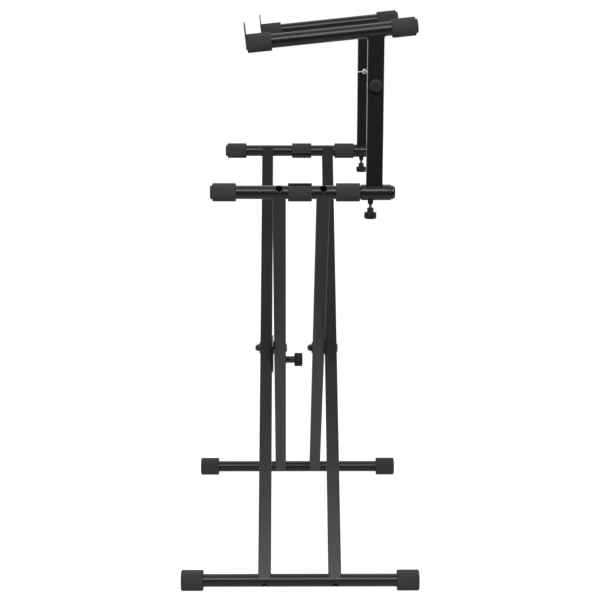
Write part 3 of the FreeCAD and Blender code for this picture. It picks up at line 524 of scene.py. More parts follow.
def hole_lip(centre, way):
    """Edge of an access hole, pressed in and rounded, on a tube along X."""
    across = way.cross(X)
    reach = ACCESS_R + 0.6 * MM
    steps = 48
    path, ways = [], []
    for step in range(steps):
        turn = step / steps * 2 * math.pi
        out = X * math.cos(turn) + across * math.sin(turn)
        side = reach * math.sin(turn)
        height = math.sqrt((TUBE_R - ACCESS_LIP * 0.8) ** 2 - side ** 2)
        path.append(centre + out * reach + way * height)
        ways.append(out)
    return swept(path, [ACCESS_LIP] * len(path), ways, closed=True, sides=12)


def round_tube(name, body, axis=X, hole_x=(), hole_way=None):
    """Round tube along an axis, with access holes at some X from one side."""
    centre = middle(name)
    low, high = vertices_along(name, axis)
    start = axis_point(centre, axis, low)
    bm = placed(face_out(lathe(tube_section(high - low), 96)), frame_to(start, axis))
    if hole_x:
        spots = [Vector((x, start.y, start.z)) for x in hole_x]
        bm = carve(bm, [cylinder(ACCESS_R, spot, hole_way, TUBE_R * 2) for spot in spots])
        bm = together(bm, *[face_out(hole_lip(spot, hole_way)) for spot in spots])
    return piece(name + "_skin", bm, body, "black_powder_coat", [name], keep_normals=True)


def square_section(wide, deep, corner, wall, cuts):
    """Flat ring: a rounded rectangle with its bore, ready to extrude."""
    bm = bmesh.new()
    bmesh.ops.create_grid(bm, x_segments=1, y_segments=1, size=0.5)
    bmesh.ops.scale(bm, vec=(wide, deep, 1), verts=bm.verts)
    bmesh.ops.bevel(bm, geom=list(bm.verts), affect="VERTICES", offset=corner, segments=6,
                    profile=0.5, material=-1)
    straight = [edge for edge in bm.edges if edge.calc_length() > corner * 2]
    bmesh.ops.subdivide_edges(bm, edges=straight, cuts=cuts)
    bmesh.ops.inset_region(bm, faces=list(bm.faces), thickness=wall, use_boundary=True,
                           use_even_offset=True)
    hollow = max(bm.faces, key=lambda face: len(face.verts))
    bmesh.ops.delete(bm, geom=[hollow], context="FACES_ONLY")
    return bm


def leg(name, body, foot, arm, leg_x, pin_hole=None):
    """Square leg from a foot bar to an arm, with its ends hollowed to sit on the tubes.
    pin_hole is the place in the leg where the lock pin comes in from +X."""
    low, high = middle(foot), middle(arm)
    low.x = high.x = leg_x
    axis = high - low
    length = axis.length
    bm = square_section(LEG_W, LEG_W, LEG_CORNER, TUBE_WALL, 15)
    top = set(extrude_up(bm, length))
    for vert in bm.verts:
        across = min(abs(vert.co.y), TUBE_R)
        saddle = math.sqrt(TUBE_R ** 2 - across ** 2)
        vert.co.z = length - saddle if vert in top else saddle
    face_out(placed(bm, frame_to(low, axis, X)))
    if pin_hole is not None:
        bm = carve(bm, [cylinder(LOCK_HOLE_R, pin_hole, X, LEG_W)])
    return piece(name + "_skin", bm, body, "black_powder_coat", [name], keep_normals=True)


# ---- rubber -----------------------------------------------------------------------------------

MOUTH = 8 * MM              # how far a cap's bore is made inwards


def foot_cap(name, body, way, bar):
    """Ribbed foot cap with rounded ends and a shallow dish in its closed end."""
    centre = middle(bar)
    low, high = vertices_along(name, way)
    depth = high - low
    mouth = axis_point(centre, way, low)
    edge = 3.2 * MM
    lip = 1.4 * MM
    dish = depth - 0.5 * MM
    stations = [(TUBE_R + 0.1 * MM, MOUTH, 0), (TUBE_R + 0.1 * MM, 0.6 * MM, 0),
                (TUBE_R + 0.7 * MM, 0, 0), (FOOT_R - lip, 0, 0.0),
                (FOOT_R - lip * 0.35, lip * 0.3, 0.6), (FOOT_R, lip, 1.0),
                (FOOT_R, depth * 0.5, 1.0), (FOOT_R, depth - edge, 1.0)]
    stations += round_over(FOOT_R, depth, edge, range(1, 6), 6, fade=1.0)
    stations += [(FOOT_R - edge, depth, 0), (FOOT_R * 0.72, depth, 0),
                 (FOOT_R * 0.68, dish, 0), (FOOT_R * 0.3, dish, 0), (0, dish, 0)]
    bm = placed(fluted(stations, FOOT_RIBS, RIB_DEPTH, RIB_SHAPE), frame_to(mouth, way))
    for vert in bm.verts:
        vert.co.z = max(vert.co.z, 0.0)
    return piece(name + "_skin", bm, body, "ribbed_rubber", [name], sharp=SHARP_RIBS)


def arm_cap(name, body, way, centre):
    """Ribbed cap with a plain stepped nose."""
    low, high = vertices_along(name, way)
    depth = high - low
    mouth = axis_point(centre, way, low)
    nose = 4 * MM
    nose_r = 12.7 * MM
    edge = 2.2 * MM
    lip = 0.9 * MM
    shoulder = depth - nose
    stations = [(TUBE_R + 0.1 * MM, MOUTH, 0), (TUBE_R + 0.1 * MM, 0.5 * MM, 0),
                (TUBE_R + 0.6 * MM, 0, 0), (GRIP_R - lip, 0, 0), (GRIP_R, lip, 1.0),
                (GRIP_R, depth * 0.5, 1.0), (GRIP_R, shoulder - edge, 1.0)]
    stations += round_over(GRIP_R, shoulder, edge, range(1, 5), 5, fade=1.0)
    stations += [(GRIP_R - edge, shoulder, 0), (nose_r + 0.6 * MM, shoulder, 0),
                 (nose_r, shoulder + 0.4 * MM, 0), (nose_r, depth - 1.2 * MM, 0),
                 (nose_r - 0.4 * MM, depth - 0.4 * MM, 0), (nose_r - 1.3 * MM, depth, 0),
                 (nose_r * 0.5, depth, 0), (0, depth, 0)]
    bm = fluted(stations, GRIP_RIBS, RIB_DEPTH, RIB_SHAPE)
    return piece(name + "_skin", bm, body, "ribbed_rubber", [name], frame_to(mouth, way),
                 sharp=SHARP_RIBS)


SLIT = 5 * MM


def grip(name, body, axis, centre, slit_way=None):
    """Ribbed sleeve, cut open along slit_way where asked."""
    low, high = vertices_along(name, axis)
    depth = high - low
    start = axis_point(centre, axis, low)
    lip = 0.9 * MM
    bore = TUBE_R + 0.05 * MM
    stations = [(bore, 0.5 * MM, 0), (bore + 0.5 * MM, 0, 0), (GRIP_R - lip, 0, 0),
                (GRIP_R - lip * 0.3, lip * 0.3, 0.5), (GRIP_R, lip, 1.0),
                (GRIP_R, depth * 0.5, 1.0), (GRIP_R, depth - lip, 1.0),
                (GRIP_R - lip * 0.3, depth - lip * 0.3, 0.5), (GRIP_R - lip, depth, 0),
                (bore + 0.5 * MM, depth, 0), (bore, depth - 0.5 * MM, 0), (bore, 0.5 * MM, 0)]
    bm = fluted(stations, GRIP_RIBS, RIB_DEPTH, RIB_SHAPE)
    merge(bm)
    placed(face_out(bm), frame_to(start, axis))
    if slit_way is not None:
        slit = bmesh.new()
        bmesh.ops.create_cube(slit, size=1.0)
        bmesh.ops.scale(slit, vec=(SLIT, depth * 1.2, GRIP_R * 1.5), verts=slit.verts)
        bmesh.ops.translate(slit, vec=(0, 0, GRIP_R * 0.75), verts=slit.verts)
        place = frame_to(start + axis * depth / 2, slit_way, axis.cross(slit_way))
        bm = carve(bm, [placed(slit, place)])
    return piece(name + "_skin", bm, body, "ribbed_rubber", [name], sharp=SHARP_RIBS,
                 keep_normals=True)


# ---- the two crossed frames -------------------------------------------------------------------

OUTER_X = [middle(f"outer_leg_{end}").x for end in ("front", "back")]
INNER_X = [middle(f"inner_leg_{end}").x for end in ("front", "back")]


def flat_way(start, end):
    """Direction from one node's middle to another's, square to X."""
    way = middle(end) - middle(start)
    way.x = 0
    return way.normalized()


OUTER_UP = flat_way("right_foot_bar", "left_arm_tube")
INNER_UP = flat_way("left_foot_bar", "right_arm_tube")

round_tube("right_foot_bar", "outer_frame", hole_x=OUTER_X, hole_way=-OUTER_UP)
round_tube("left_foot_bar", "inner_frame", hole_x=INNER_X, hole_way=-INNER_UP)
round_tube("left_arm_tube", "outer_frame", hole_x=OUTER_X, hole_way=OUTER_UP)
round_tube("right_arm_tube", "inner_frame", hole_x=INNER_X, hole_way=INNER_UP)

PIVOT = middle("pivot_bushes")
PIVOT.x = 0
FOLD_CLOSED = math.radians(-78)
LOCK_HOLE_R = 3.9 * MM
pin_closed = Matrix.Rotation(FOLD_CLOSED, 3, "X") @ (middle("plunger_pin") - PIVOT) + PIVOT
pin_closed.x = OUTER_X[0]

leg("outer_leg_front", "outer_frame", "right_foot_bar", "left_arm_tube", OUTER_X[0], pin_closed)
leg("outer_leg_back", "outer_frame", "right_foot_bar", "left_arm_tube", OUTER_X[1])
leg("inner_leg_front", "inner_frame", "left_foot_bar", "right_arm_tube", INNER_X[0])
leg("inner_leg_back", "inner_frame", "left_foot_bar", "right_arm_tube", INNER_X[1])

BODY_OF_FOOT = {"right": "outer_frame", "left": "inner_frame"}
BODY_OF_ARM = {"right": "inner_frame", "left": "outer_frame"}
for side in ("right", "left"):
    foot_cap(f"{side}_foot_cap_front", BODY_OF_FOOT[side], -X, f"{side}_foot_bar")
    foot_cap(f"{side}_foot_cap_back", BODY_OF_FOOT[side], X, f"{side}_foot_bar")
    arm_cap(f"{side}_arm_cap", BODY_OF_ARM[side], -X, middle(f"{side}_arm_tube"))


def slit_direction(turn):
    """Direction of a slit from the arm's axis, from straight down towards the left side."""
    angle = math.radians(turn)
    return Vector((0, math.sin(angle), -math.cos(angle)))


SLITS = {"right_arm_grip_mid": 207, "right_arm_grip_back": 20,
         "left_arm_grip_mid": 295, "left_arm_grip_back": 65}
for name, turn in SLITS.items():
    side = name.split("_")[0]
    grip(name, BODY_OF_ARM[side], X, middle(f"{side}_arm_tube"), slit_direction(turn))


# ---- pivot and lock ---------------------------------------------------------------------------

BOLT_R = 4 * MM
COARSE = 1.25 * MM          # thread pitch of the bolts
HEX_COS = math.cos(math.pi / 6)


def pivot_bolt(low, high):
    """Low domed head towards +X and a threaded end beyond the nut."""
    head_r = (high.z - low.z) / 2
    head = 2.5 * MM
    end = 4 * MM
    total = high.x - low.x
    dome = [(0, 0), (head_r * 0.45, 0.08 * MM), (head_r * 0.78, 0.42 * MM),
            (head_r * 0.93, 0.95 * MM), (head_r, 1.6 * MM), (head_r, head - 0.25 * MM),
            (head_r - 0.25 * MM, head), (BOLT_R, head), (BOLT_R, total - end)]
    thread = placed(threaded(BOLT_R, end, COARSE, 0.6 * MM),
                    Matrix.Translation((0, 0, total - end)))
    place = frame_to(Vector((high.x, PIVOT.y, PIVOT.z)), -X)
    return placed(together(lathe(dome, 64), thread), place)


def lock_nut(low, high):
    """Hexagon with a domed round locking end towards -X."""
    total = high.x - low.x
    ring_r = 5.7 * MM
    flats = 13 * MM
    hexagon_end = 5.6 * MM
    corner = flats / 2 / HEX_COS
    stations = [(BOLT_R, 0), (flats / 2 - 0.1 * MM, 0), (corner - 0.5 * MM, 0.25 * MM),
                (corner, 0.9 * MM), (corner, hexagon_end - 1.1 * MM),
                (corner - 0.6 * MM, hexagon_end - 0.35 * MM), (flats / 2 - 0.2 * MM, hexagon_end),
                (ring_r, hexagon_end + 0.05 * MM), (ring_r, total - 0.9 * MM),
                (ring_r - 0.25 * MM, total - 0.35 * MM), (ring_r - 0.8 * MM, total),
                (BOLT_R + 0.5 * MM, total), (BOLT_R + 0.1 * MM, total - 0.5 * MM),
                (BOLT_R, total - 1.0 * MM), (BOLT_R, 0)]
    place = frame_to(Vector((high.x, PIVOT.y, PIVOT.z)), -X, Vector((0, 1, 1.4)))
    return placed(hexagonal(flats, stations), place)


def washer(low, high):
    """Washer under a nut, with a domed side."""
    thick = high.x - low.x
    radius = (high.z - low.z) / 2
    points = [(BOLT_R, 0), (radius - 0.3 * MM, 0), (radius, 0.3 * MM),
              (radius, thick - 0.9 * MM), (radius - 0.35 * MM, thick - 0.3 * MM),
              (radius - 1.1 * MM, thick), (BOLT_R + 0.2 * MM, thick), (BOLT_R, thick - 0.2 * MM),
              (BOLT_R, 0)]
    return placed(lathe(points, 72), frame_to(Vector((high.x, PIVOT.y, PIVOT.z)), -X))


for name, make in (("pivot_bolts", pivot_bolt), ("pivot_nuts", lock_nut),
                   ("pivot_nut_washers", washer)):
    made = [make(low, high) for low, high in islands(name)]
    piece(name + "_skin", together(*made), "outer_frame", "black_oxide_steel", [name])


def plunger():
    """Housing and pull knob of the lock."""
    low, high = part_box("plunger_housing")
    centre = middle("plunger_housing")
    face = INNER_X[0] + LEG_W / 2
    start = Vector((face, centre.y, centre.z))
    boss_r = 7.4 * MM
    length = high.x - face
    neck = low.x - face
    neck_r = 6 * MM
    pin_bore, spring_bore, rod_bore = 3.6 * MM, 5.5 * MM, 2.6 * MM
    points = [(pin_bore, neck), (neck_r, neck), (neck_r, 0), (boss_r + 0.3 * MM, 0),
              (boss_r + 0.3 * MM, 1.0 * MM), (boss_r - 0.3 * MM, 2.0 * MM),
              (boss_r - 0.3 * MM, 2.6 * MM), (boss_r, 3.0 * MM), (boss_r, length - 0.8 * MM),
              (boss_r - 0.8 * MM, length), (rod_bore, length), (rod_bore, length - 2 * MM),
              (spring_bore, length - 2 * MM), (spring_bore, 1 * MM), (pin_bore, 1 * MM),
              (pin_bore, neck)]
    piece("plunger_housing_skin", lathe(points, 72), "inner_frame", "black_oxide_steel",
          ["plunger_housing"], frame_to(start, X))

    low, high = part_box("plunger_knob")
    depth = high.x - low.x
    radius = 14.4 * MM
    edge = 2.6 * MM
    recess = boss_r + 0.6 * MM
    recess_end = 7.2 * MM
    stations = [(2.5 * MM, recess_end, 0), (recess, recess_end, 0), (recess, 0.4 * MM, 0),
                (recess + 0.4 * MM, 0, 0), (radius - 2.0 * MM, 0, 0),
                (radius - 0.7 * MM, 0.45 * MM, 0.5), (radius, 1.7 * MM, 1.0)]
    stations += round_over(radius, depth, edge, range(6), 5, fade=0.6)
    stations += [(radius - 4.4 * MM, depth, 0), (radius - 4.9 * MM, depth - 0.4 * MM, 0),
                 (radius * 0.3, depth - 0.4 * MM, 0), (0, depth - 0.4 * MM, 0)]
    bm = fluted(stations, 10, 1.1 * MM, LOBE_SHAPE)
    piece("plunger_knob_skin", bm, "lock_plunger", "black_knob_plastic", ["plunger_knob"],
          frame_to(Vector((low.x, centre.y, centre.z)), X), sharp=SHARP_LOBES)


plunger()


# ---- second tier ------------------------------------------------------------------------------

COLLAR_R = 14.6 * MM
COLLAR_BORE = 12.8 * MM
POST_WIDE, POST_DEEP, POST_WALL, POST_CORNER = 30 * MM, 20 * MM, 1.5 * MM, 2.4 * MM
POST_GAP = 0.3 * MM


def collar(name, body, centre):
    """Ring round a lower arm."""
    low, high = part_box(name)
    length = high.x - low.x
    edge = 1.0 * MM
    points = [(COLLAR_BORE, 0.4 * MM), (COLLAR_BORE + 0.4 * MM, 0), (COLLAR_R - edge, 0),
              (COLLAR_R - edge * 0.3, edge * 0.3), (COLLAR_R, edge), (COLLAR_R, length - edge),
              (COLLAR_R - edge * 0.3, length - edge * 0.3), (COLLAR_R - edge, length),
              (COLLAR_BORE + 0.4 * MM, length), (COLLAR_BORE, length - 0.4 * MM),
              (COLLAR_BORE, 0.4 * MM)]
    start = Vector((low.x, centre.y, centre.z))
    return piece(name + "_skin", lathe(points, 96), body, "black_powder_coat", [name],
                 frame_to(start, X))


def clamp(side, body, turning, centre):
    """Nut under the collar, threaded screw and lobed knob."""
    at_x = middle(f"{side}_clamp_screw").x
    down = frame_to(Vector((at_x, centre.y, centre.z)), -Z, X)
    low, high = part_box(f"{side}_clamp_nut")
    bottom = centre.z - low.z
    flats = 10 * MM
    corner = flats / 2 / HEX_COS
    stem = 2.7 * MM
    seat = COLLAR_R - 0.6 * MM
    stations = [(stem, seat), (corner, seat),
                (corner, bottom - 3.6 * MM), (corner - 0.4 * MM, bottom - 2.4 * MM),
                (flats / 2 - 0.4 * MM, bottom - 1.1 * MM), (flats / 2 - 1.3 * MM, bottom),
                (stem + 0.3 * MM, bottom), (stem, bottom - 0.4 * MM), (stem, seat)]
    piece(f"{side}_clamp_nut_skin", hexagonal(flats, stations), body, "black_powder_coat",
          [f"{side}_clamp_nut"], down)

    low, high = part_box(f"{side}_clamp_screw")
    top = centre.z - high.z
    length = high.z - low.z
    screw = placed(threaded(stem - 0.02 * MM, length, 0.8 * MM, 0.25 * MM),
                   Matrix.Translation((0, 0, top)))
    bmesh.ops.holes_fill(screw, edges=[edge for edge in screw.edges if edge.is_boundary],
                         sides=64)
    piece(f"{side}_clamp_screw_skin", screw, turning, "black_oxide_steel",
          [f"{side}_clamp_screw"], down)

    low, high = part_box(f"{side}_clamp_knob")
    hub_top = centre.z - high.z
    bottom = centre.z - low.z
    disc_top = 37 * MM
    hub_r = 6.0 * MM
    disc_r = 11.6 * MM
    edge = 2.4 * MM
    stations = [(stem, hub_top, 0), (hub_r - 1.0 * MM, hub_top, 0),
                (hub_r - 0.3 * MM, hub_top + 0.3 * MM, 0), (hub_r - 0.1 * MM, hub_top + 1 * MM, 0),
                (hub_r + 0.1 * MM, disc_top - 1.4 * MM, 0),
                (hub_r + 0.6 * MM, disc_top - 0.4 * MM, 0), (hub_r + 1.4 * MM, disc_top, 0),
                (disc_r - 1.4 * MM, disc_top, 0), (disc_r - 0.45 * MM, disc_top + 0.4 * MM, 0.7),
                (disc_r, disc_top + 1.4 * MM, 1.0)]
    stations += round_over(disc_r, bottom, edge, range(6), 5, fade=0.7)
    stations += [(disc_r * 0.6, bottom, 0), (disc_r * 0.54, bottom - 0.4 * MM, 0),
                 (0, bottom - 0.4 * MM, 0)]
    bm = fluted(stations, 8, 1.0 * MM, LOBE_SHAPE)
    piece(f"{side}_clamp_knob_skin", bm, turning, "black_knob_plastic", [f"{side}_clamp_knob"],
          down, sharp=SHARP_LOBES)


def arm_plug(side, body, centre):
    """Glossy plug in the arm's back end, with a stepped and rounded head."""
    low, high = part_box(f"{side}_arm_plug")
    tube_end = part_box(f"{side}_arm_tube")[1].x
    head = high.x - tube_end
    inside = tube_end - low.x
    fit = TUBE_R - TUBE_WALL - 0.05 * MM
    radius = 12.6 * MM
    step_r = 11.3 * MM
    points = [(0, -inside), (fit - 0.95 * MM, -inside), (fit, 1 * MM - inside),
              (fit, 0.05 * MM), (radius - 0.4 * MM, 0.05 * MM),
              (radius, 0.5 * MM), (radius, 3.2 * MM), (radius - 0.2 * MM, 3.9 * MM),
              (radius - 0.7 * MM, 4.3 * MM), (step_r + 0.4 * MM, 4.4 * MM),
              (step_r + 0.1 * MM, 4.6 * MM), (step_r, 5.0 * MM)]
    points += round_over(step_r, head, 2.0 * MM, range(7), 6)
    points += [(step_r * 0.45, head), (0, head)]
    place = frame_to(Vector((tube_end, centre.y, centre.z)), X)
    piece(f"{side}_arm_plug_skin", lathe(points, 96), body, "gloss_black_plastic",
          [f"{side}_arm_plug"], place)


def under_arm(arm_centre, x, across):
    """Height of the upper arm's underside at an X, so far across from its middle."""
    axis_z = arm_centre.z + (x - arm_centre.x) * math.tan(SLOPE)
    return axis_z - math.sqrt(TUBE_R ** 2 - across ** 2) / math.cos(SLOPE)


def post(side, body, centre, arm_centre):
    """Rectangular post, hollowed to the collar below and to the sloping arm above."""
    low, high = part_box(f"{side}_post")
    mid = (low + high) / 2
    bm = square_section(POST_WIDE, POST_DEEP, POST_CORNER, POST_WALL, 11)
    top = set(extrude_up(bm, 1.0))
    seat = COLLAR_R + POST_GAP
    for vert in bm.verts:
        x, y = vert.co.x, vert.co.y
        if vert in top:
            vert.co.z = under_arm(arm_centre, mid.x + x, y)
        else:
            vert.co.z = centre.z + math.sqrt(seat ** 2 - y * y)
    bmesh.ops.translate(bm, vec=(mid.x, mid.y, 0), verts=bm.verts)
    piece(f"{side}_post_skin", bm, body, "black_powder_coat", [f"{side}_post"])
    return mid


def bead(points, outward, sizes, seed, closed=True):
    """Weld bead along a line of points, with ripples and a little unevenness."""
    ripple_pitch = 1.5 * MM
    drift_pitch = 11 * MM
    radii = []
    travelled = 0.0
    for here, point in enumerate(points):
        if here or closed:
            travelled += (point - points[here - 1]).length
        ripple = 0.5 + 0.5 * math.cos(travelled / ripple_pitch * 2 * math.pi)
        drift = math.sin(travelled / drift_pitch + seed) * 0.10
        radii.append(sizes[here] * (0.86 + 0.16 * ripple + drift))
    return swept(points, radii, outward, closed=closed, sides=12)


def round_the_post(mid, grow, height):
    """Closed line of points round the post at a distance, each at its height there."""
    wide = POST_WIDE / 2 + grow
    deep = POST_DEEP / 2 + grow
    corner = POST_CORNER + grow
    points, ways = [], []
    for sign_x, sign_y, start in ((1, -1, -90), (1, 1, 0), (-1, 1, 90), (-1, -1, 180)):
        centre = Vector((sign_x * (wide - corner), sign_y * (deep - corner)))
        for part in range(7):
            turn = math.radians(start + part * 15)
            way = Vector((math.cos(turn), math.sin(turn)))
            points.append(centre + way * corner)
            ways.append(way)
    dense, sides = [], []
    for here, point in enumerate(points):
        following = points[(here + 1) % len(points)]
        gap = (following - point).length
        cuts = max(1, round(gap / (0.4 * MM)))
        for part in range(cuts):
            share = part / cuts
            spot = point.lerp(following, share)
            way = ways[here].lerp(ways[(here + 1) % len(points)], share)
            dense.append(Vector((mid.x + spot.x, mid.y + spot.y, height(spot.x, spot.y))))
            sides.append(Vector((way.x, way.y, 0)))
    return dense, sides


def post_welds(side, bracket_body, arm_body, mid, centre, arm_centre):
    """Bead under the upper arm, and one along each side of the post's foot on the collar."""
    arm_size = 1.5 * MM
    foot_size = 1.9 * MM

    def height(x, y):
        across = min(abs(y), TUBE_R * 0.98)
        return under_arm(arm_centre, mid.x + x, across) - 0.4 * MM

    points, ways = round_the_post(mid, 0.2 * MM, height)
    bm = bead(points, ways, [arm_size] * len(points), 0.4)
    piece(f"{side}_arm_weld", bm, arm_body, "black_powder_coat", sharp=SHARP_BEAD)

    half = POST_WIDE / 2 - 1.5 * MM
    steps = 72
    z = centre.z + 11 * MM
    rows = []
    for sign, seed in ((-1, 1.7), (1, 4.1)):
        y = sign * (POST_DEEP / 2 + foot_size + 0.15 * MM)
        points, sizes = [], []
        for step in range(steps + 1):
            share = step / steps
            points.append(Vector((mid.x + (share * 2 - 1) * half, mid.y + y, z)))
            ends = min(1.0, 14 * share + 0.15, 14 * (1 - share) + 0.15)
            lump = math.exp(-((share - 0.8) / 0.07) ** 2)
            sizes.append(foot_size * ends * (0.85 + 0.15 * lump))
        ways = [Vector((0, sign, 0))] * len(points)
        rows.append(bead(points, ways, sizes, seed, closed=False))
    piece(f"{side}_collar_weld", together(*rows), bracket_body, "black_powder_coat",
          sharp=SHARP_BEAD)


def post_bolt(side, body, mid, outward):
    """Moulded round head outside, threaded end inside."""
    low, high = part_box(f"{side}_post_bolt")
    half = POST_DEEP / 2
    head_r = (high.z - low.z) / 2 - 0.1 * MM
    tall = 9 * MM
    face = tall - 0.35 * MM
    rim = 1.7 * MM
    points = [(BOLT_R, 0), (head_r - 0.8 * MM, 0), (head_r - 0.2 * MM, 0.3 * MM),
              (head_r, 1.0 * MM), (head_r, face - rim)]
    for part in range(1, 7):
        turn = part / 6 * math.radians(86)
        points.append((head_r - rim * (1 - math.cos(turn)), face - rim * (1 - math.sin(turn))))
    points += [(head_r * 0.6, face + 0.15 * MM), (head_r * 0.3, tall - 0.05 * MM), (0, tall)]
    start = Vector((mid.x, mid.y, (low.z + high.z) / 2))
    head = placed(lathe(points, 96), frame_to(start + outward * half, outward))
    piece(f"{side}_post_bolt_head", head, body, "bolt_head_plastic", [f"{side}_post_bolt"])
    shank = placed(lathe([(BOLT_R, 0), (BOLT_R, half * 2)], 48),
                   frame_to(start + outward * half, -outward))
    end = placed(threaded(BOLT_R - 0.02 * MM, 15 * MM, COARSE, 0.68 * MM),
                 frame_to(start - outward * half, -outward))
    piece(f"{side}_post_bolt_shank", together(shank, end), body, "bright_steel",
          [f"{side}_post_bolt"])


# Outline of an ear in mm, from the hub's axis and from its foot
WING_EAR = ((4.6, 1.1), (7.6, 1.3), (10.4, 2.9), (12.7, 5.4), (14.5, 8.4), (14.7, 10.9),
            (13.2, 12.7), (10.9, 12.7), (9.2, 11.2), (7.9, 9.0), (6.3, 7.6), (4.6, 7.0))


def wing_nut(side, body, mid, inward):
    """Turned hub with two rounded ears."""
    centre = middle(f"{side}_wing_nut")
    hub = [(BOLT_R, 0.3 * MM), (BOLT_R + 0.4 * MM, 0), (6.5 * MM, 0), (6.95 * MM, 0.35 * MM),
           (6.95 * MM, 1.2 * MM), (6.6 * MM, 2.2 * MM), (5.7 * MM, 5.0 * MM),
           (5.35 * MM, 7.4 * MM), (5.05 * MM, 8.2 * MM), (4.6 * MM, 8.5 * MM),
           (BOLT_R + 0.3 * MM, 8.5 * MM), (BOLT_R, 8.2 * MM), (BOLT_R, 0.3 * MM)]
    parts = [lathe(hub, 64)]
    curve = [(x * MM, y * MM) for x, y in soft_outline(WING_EAR, 5)]
    lift = Matrix.Rotation(math.pi / 2, 4, "X")
    for turn in (0, math.pi):
        parts.append(placed(plate(curve, 2.6 * MM, 0.85 * MM, 3),
                            Matrix.Rotation(turn, 4, "Z") @ lift))
    start = Vector((mid.x, mid.y, centre.z)) + inward * (POST_DEEP / 2 + 0.05 * MM)
    piece(f"{side}_wing_nut_skin", together(*parts), body, "bright_zinc",
          [f"{side}_wing_nut"], frame_to(start, inward, X), sharp=SHARP_EARS)


def stop_lip(side, body, arm_centre):
    """Thin upright plate across the arm's front end."""
    name = f"{side}_stop_lip"
    low, high = vertices_along(name, UP_ARM)
    thick = high - low
    above, below, half, corner = 38 * MM, 11 * MM, 15 * MM, 7 * MM
    points = []
    for x, y, radius, start in ((above, half, corner, 0), (-below, half, 1.5 * MM, 90),
                                (-below, -half, 1.5 * MM, 180), (above, -half, corner, 270)):
        centre = Vector((x - math.copysign(radius, x), y - math.copysign(radius, y)))
        for part in range(9):
            turn = math.radians(start + part * 90 / 8)
            points.append(centre + Vector((math.cos(turn), math.sin(turn))) * radius)
    bm = plate(points, thick, 0.35 * MM)
    spot = axis_point(arm_centre, UP_ARM, (low + high) / 2)
    piece(name + "_skin", bm, body, "black_powder_coat", [name], frame_to(spot, UP_ARM, Z))


for side, outward in (("right", -Y), ("left", Y)):
    upper = f"{side}_upper_arm"
    bracket = f"{side}_bracket"
    arm_body = BODY_OF_ARM[side]
    round_tube(f"{side}_upper_tube", upper, UP_ARM)
    upper_centre = middle(f"{side}_upper_tube")
    arm_cap(f"{side}_upper_cap", upper, UP_ARM, upper_centre)
    grip(f"{side}_upper_grip", upper, UP_ARM, upper_centre)
    lower_centre = middle(f"{side}_arm_tube")
    collar(f"{side}_collar", bracket, lower_centre)
    clamp(side, bracket, f"{side}_clamp", lower_centre)
    arm_plug(side, arm_body, lower_centre)
    post_mid = post(side, upper, lower_centre, upper_centre)
    post_welds(side, bracket, upper, post_mid, lower_centre, upper_centre)
    post_bolt(side, upper, post_mid, outward)
    wing_nut(side, f"{side}_wing_nut", post_mid, -outward)
    stop_lip(side, upper, upper_centre)


# ---- finishes on the frame's own pieces -------------------------------------------------------

slots = {row["node"]: row["material_slot"] for row in frame["record"]["subparts"]}
for name, shape in frame["nodes"].items():
    shape.data.materials.clear()
    shape.data.materials.append(finishes[slots[name]])
    shape.data.shade_smooth()
    shape.data.set_sharp_from_angle(angle=SHARP_CAD)


# ---- stage, lights and camera -----------------------------------------------------------------

WALLS = 0.80                # brightness of the room in mirror images; the floor's is lower
CEILING = 0.38
BEHIND = 1.3
DARK_ROOM = 0.06
FLOOR_GLOW = 0.66
FLOOR_SIZE = (9.0, 4.9, 1)
FLOOR_CENTRE = (0, 3.2, 0)

LENS, SENSOR = 87.58, 36.0  # in mm, with the place and turn fitted to the photo
CAMERA_AT = (-0.02734, -3.0134, 1.15602)
CAMERA_RIGHT = Vector((0.99995, -0.00935, 0.00178))
CAMERA_UP = Vector((0.00023, 0.21128, 0.97743))


def blend(tree, **values):
    return node(tree, "ShaderNodeMix", data_type="FLOAT", **values)


def studio():
    """White floor, which ends a little way in front of the stand as the photo's paper does.
    It is dimmer in mirror images than when seen straight."""
    bm = bmesh.new()
    bmesh.ops.create_grid(bm, x_segments=1, y_segments=1, size=1.0)
    bmesh.ops.scale(bm, vec=FLOOR_SIZE, verts=bm.verts)
    bmesh.ops.translate(bm, vec=FLOOR_CENTRE, verts=bm.verts)
    floor = add_object("studio_floor", mesh_from(bm, "studio_floor"))
    material = bpy.data.materials.new("studio_white")
    material.use_nodes = True
    tree = material.node_tree
    shader = tree.nodes["Principled BSDF"]
    for name, value in (("Base Color", (0.12, 0.12, 0.12, 1)), ("Roughness", 0.9),
                        ("Specular IOR Level", 0.0), ("Emission Color", (1, 1, 1, 1))):
        shader.inputs[name].default_value = value
    seen = node(tree, "ShaderNodeLightPath")
    glow = blend(tree, A=FLOOR_GLOW, B=1.0)
    wire(tree, (seen, "Is Camera Ray", glow, "Factor"),
         (glow, "Result", shader, "Emission Strength"))
    floor.data.materials.append(material)


def softbox(name, place, target, wide, tall, power):
    """Rectangular lamp at a place, turned to a target."""
    lamp = bpy.data.lights.new(name, "AREA")
    lamp.shape = "RECTANGLE"
    lamp.size = wide
    lamp.size_y = tall
    lamp.energy = power
    box = add_object(name, lamp)
    box.location = place
    way = Vector(target) - Vector(place)
    box.rotation_euler = way.to_track_quat("-Z", "Y").to_euler()


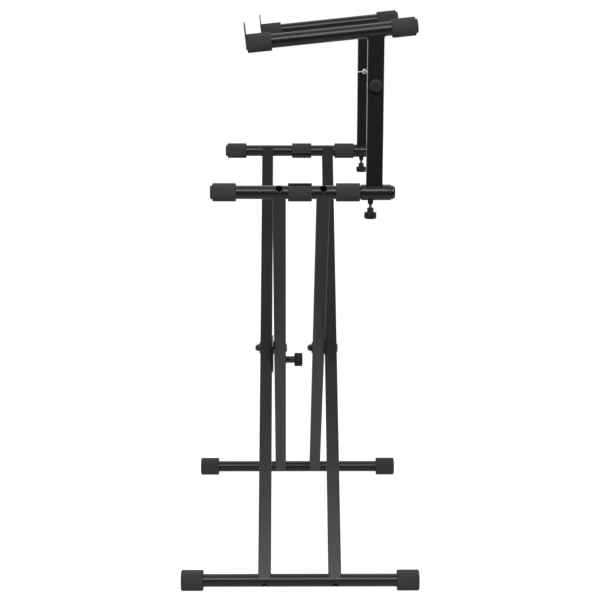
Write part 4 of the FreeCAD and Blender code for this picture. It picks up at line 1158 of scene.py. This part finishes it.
def camera():
    """The photo's camera."""
    lens = bpy.data.cameras.new("photo_camera")
    lens.lens = LENS
    lens.sensor_width = SENSOR
    lens.clip_end = 60.0
    made = add_object("photo_camera", lens)
    turn = Matrix((CAMERA_RIGHT, CAMERA_UP, CAMERA_RIGHT.cross(CAMERA_UP))).transposed()
    made.matrix_world = Matrix.Translation(CAMERA_AT) @ turn.to_4x4()
    bpy.context.scene.camera = made


def ramp(tree, low, high, at_low=0.0, at_high=1.0):
    """Soft step between two values of a direction's part."""
    return node(tree, "ShaderNodeMapRange", interpolation_type="SMOOTHSTEP",
                **{"From Min": low, "From Max": high, "To Min": at_low, "To Max": at_high})


def world_light():
    """Room that the stand mirrors: bright behind and at the sides, dim overhead and dark low
    down behind the camera. Seen straight, it is white."""
    world = bpy.data.worlds.new("studio_air")
    bpy.context.scene.world = world
    world.use_nodes = True
    tree = world.node_tree
    way = node(tree, "ShaderNodeTexCoord")
    parts = node(tree, "ShaderNodeSeparateXYZ")
    overhead = ramp(tree, 0.35, 0.80, WALLS, CEILING)
    behind = ramp(tree, -0.15, 0.10)
    room = blend(tree, B=BEHIND)
    front = ramp(tree, -0.15, -0.65)
    low = ramp(tree, 0.62, 0.35)
    dark = node(tree, "ShaderNodeMath", operation="MULTIPLY")
    level = blend(tree, B=DARK_ROOM)
    seen = node(tree, "ShaderNodeLightPath")
    shown = blend(tree, B=1.0)
    background = tree.nodes["Background"]
    background.inputs["Color"].default_value = (1, 1, 1, 1)
    wire(tree,
         (way, "Generated", parts, 0), (parts, "Z", overhead, "Value"),
         (parts, "Y", behind, "Value"), (behind, 0, room, "Factor"), (overhead, 0, room, "A"),
         (parts, "Y", front, "Value"), (parts, "Z", low, "Value"), (front, 0, dark, 0),
         (low, 0, dark, 1), (dark, 0, level, "Factor"), (room, "Result", level, "A"),
         (seen, "Is Camera Ray", shown, "Factor"), (level, "Result", shown, "A"),
         (shown, "Result", background, "Strength"))


studio()
softbox("top_softbox", (0.0, -2.8, 3.02), (0, -0.3, 0.6), 3.6, 1.15, 116)
world_light()
camera()
bpy.context.scene.view_settings.view_transform = "Standard"
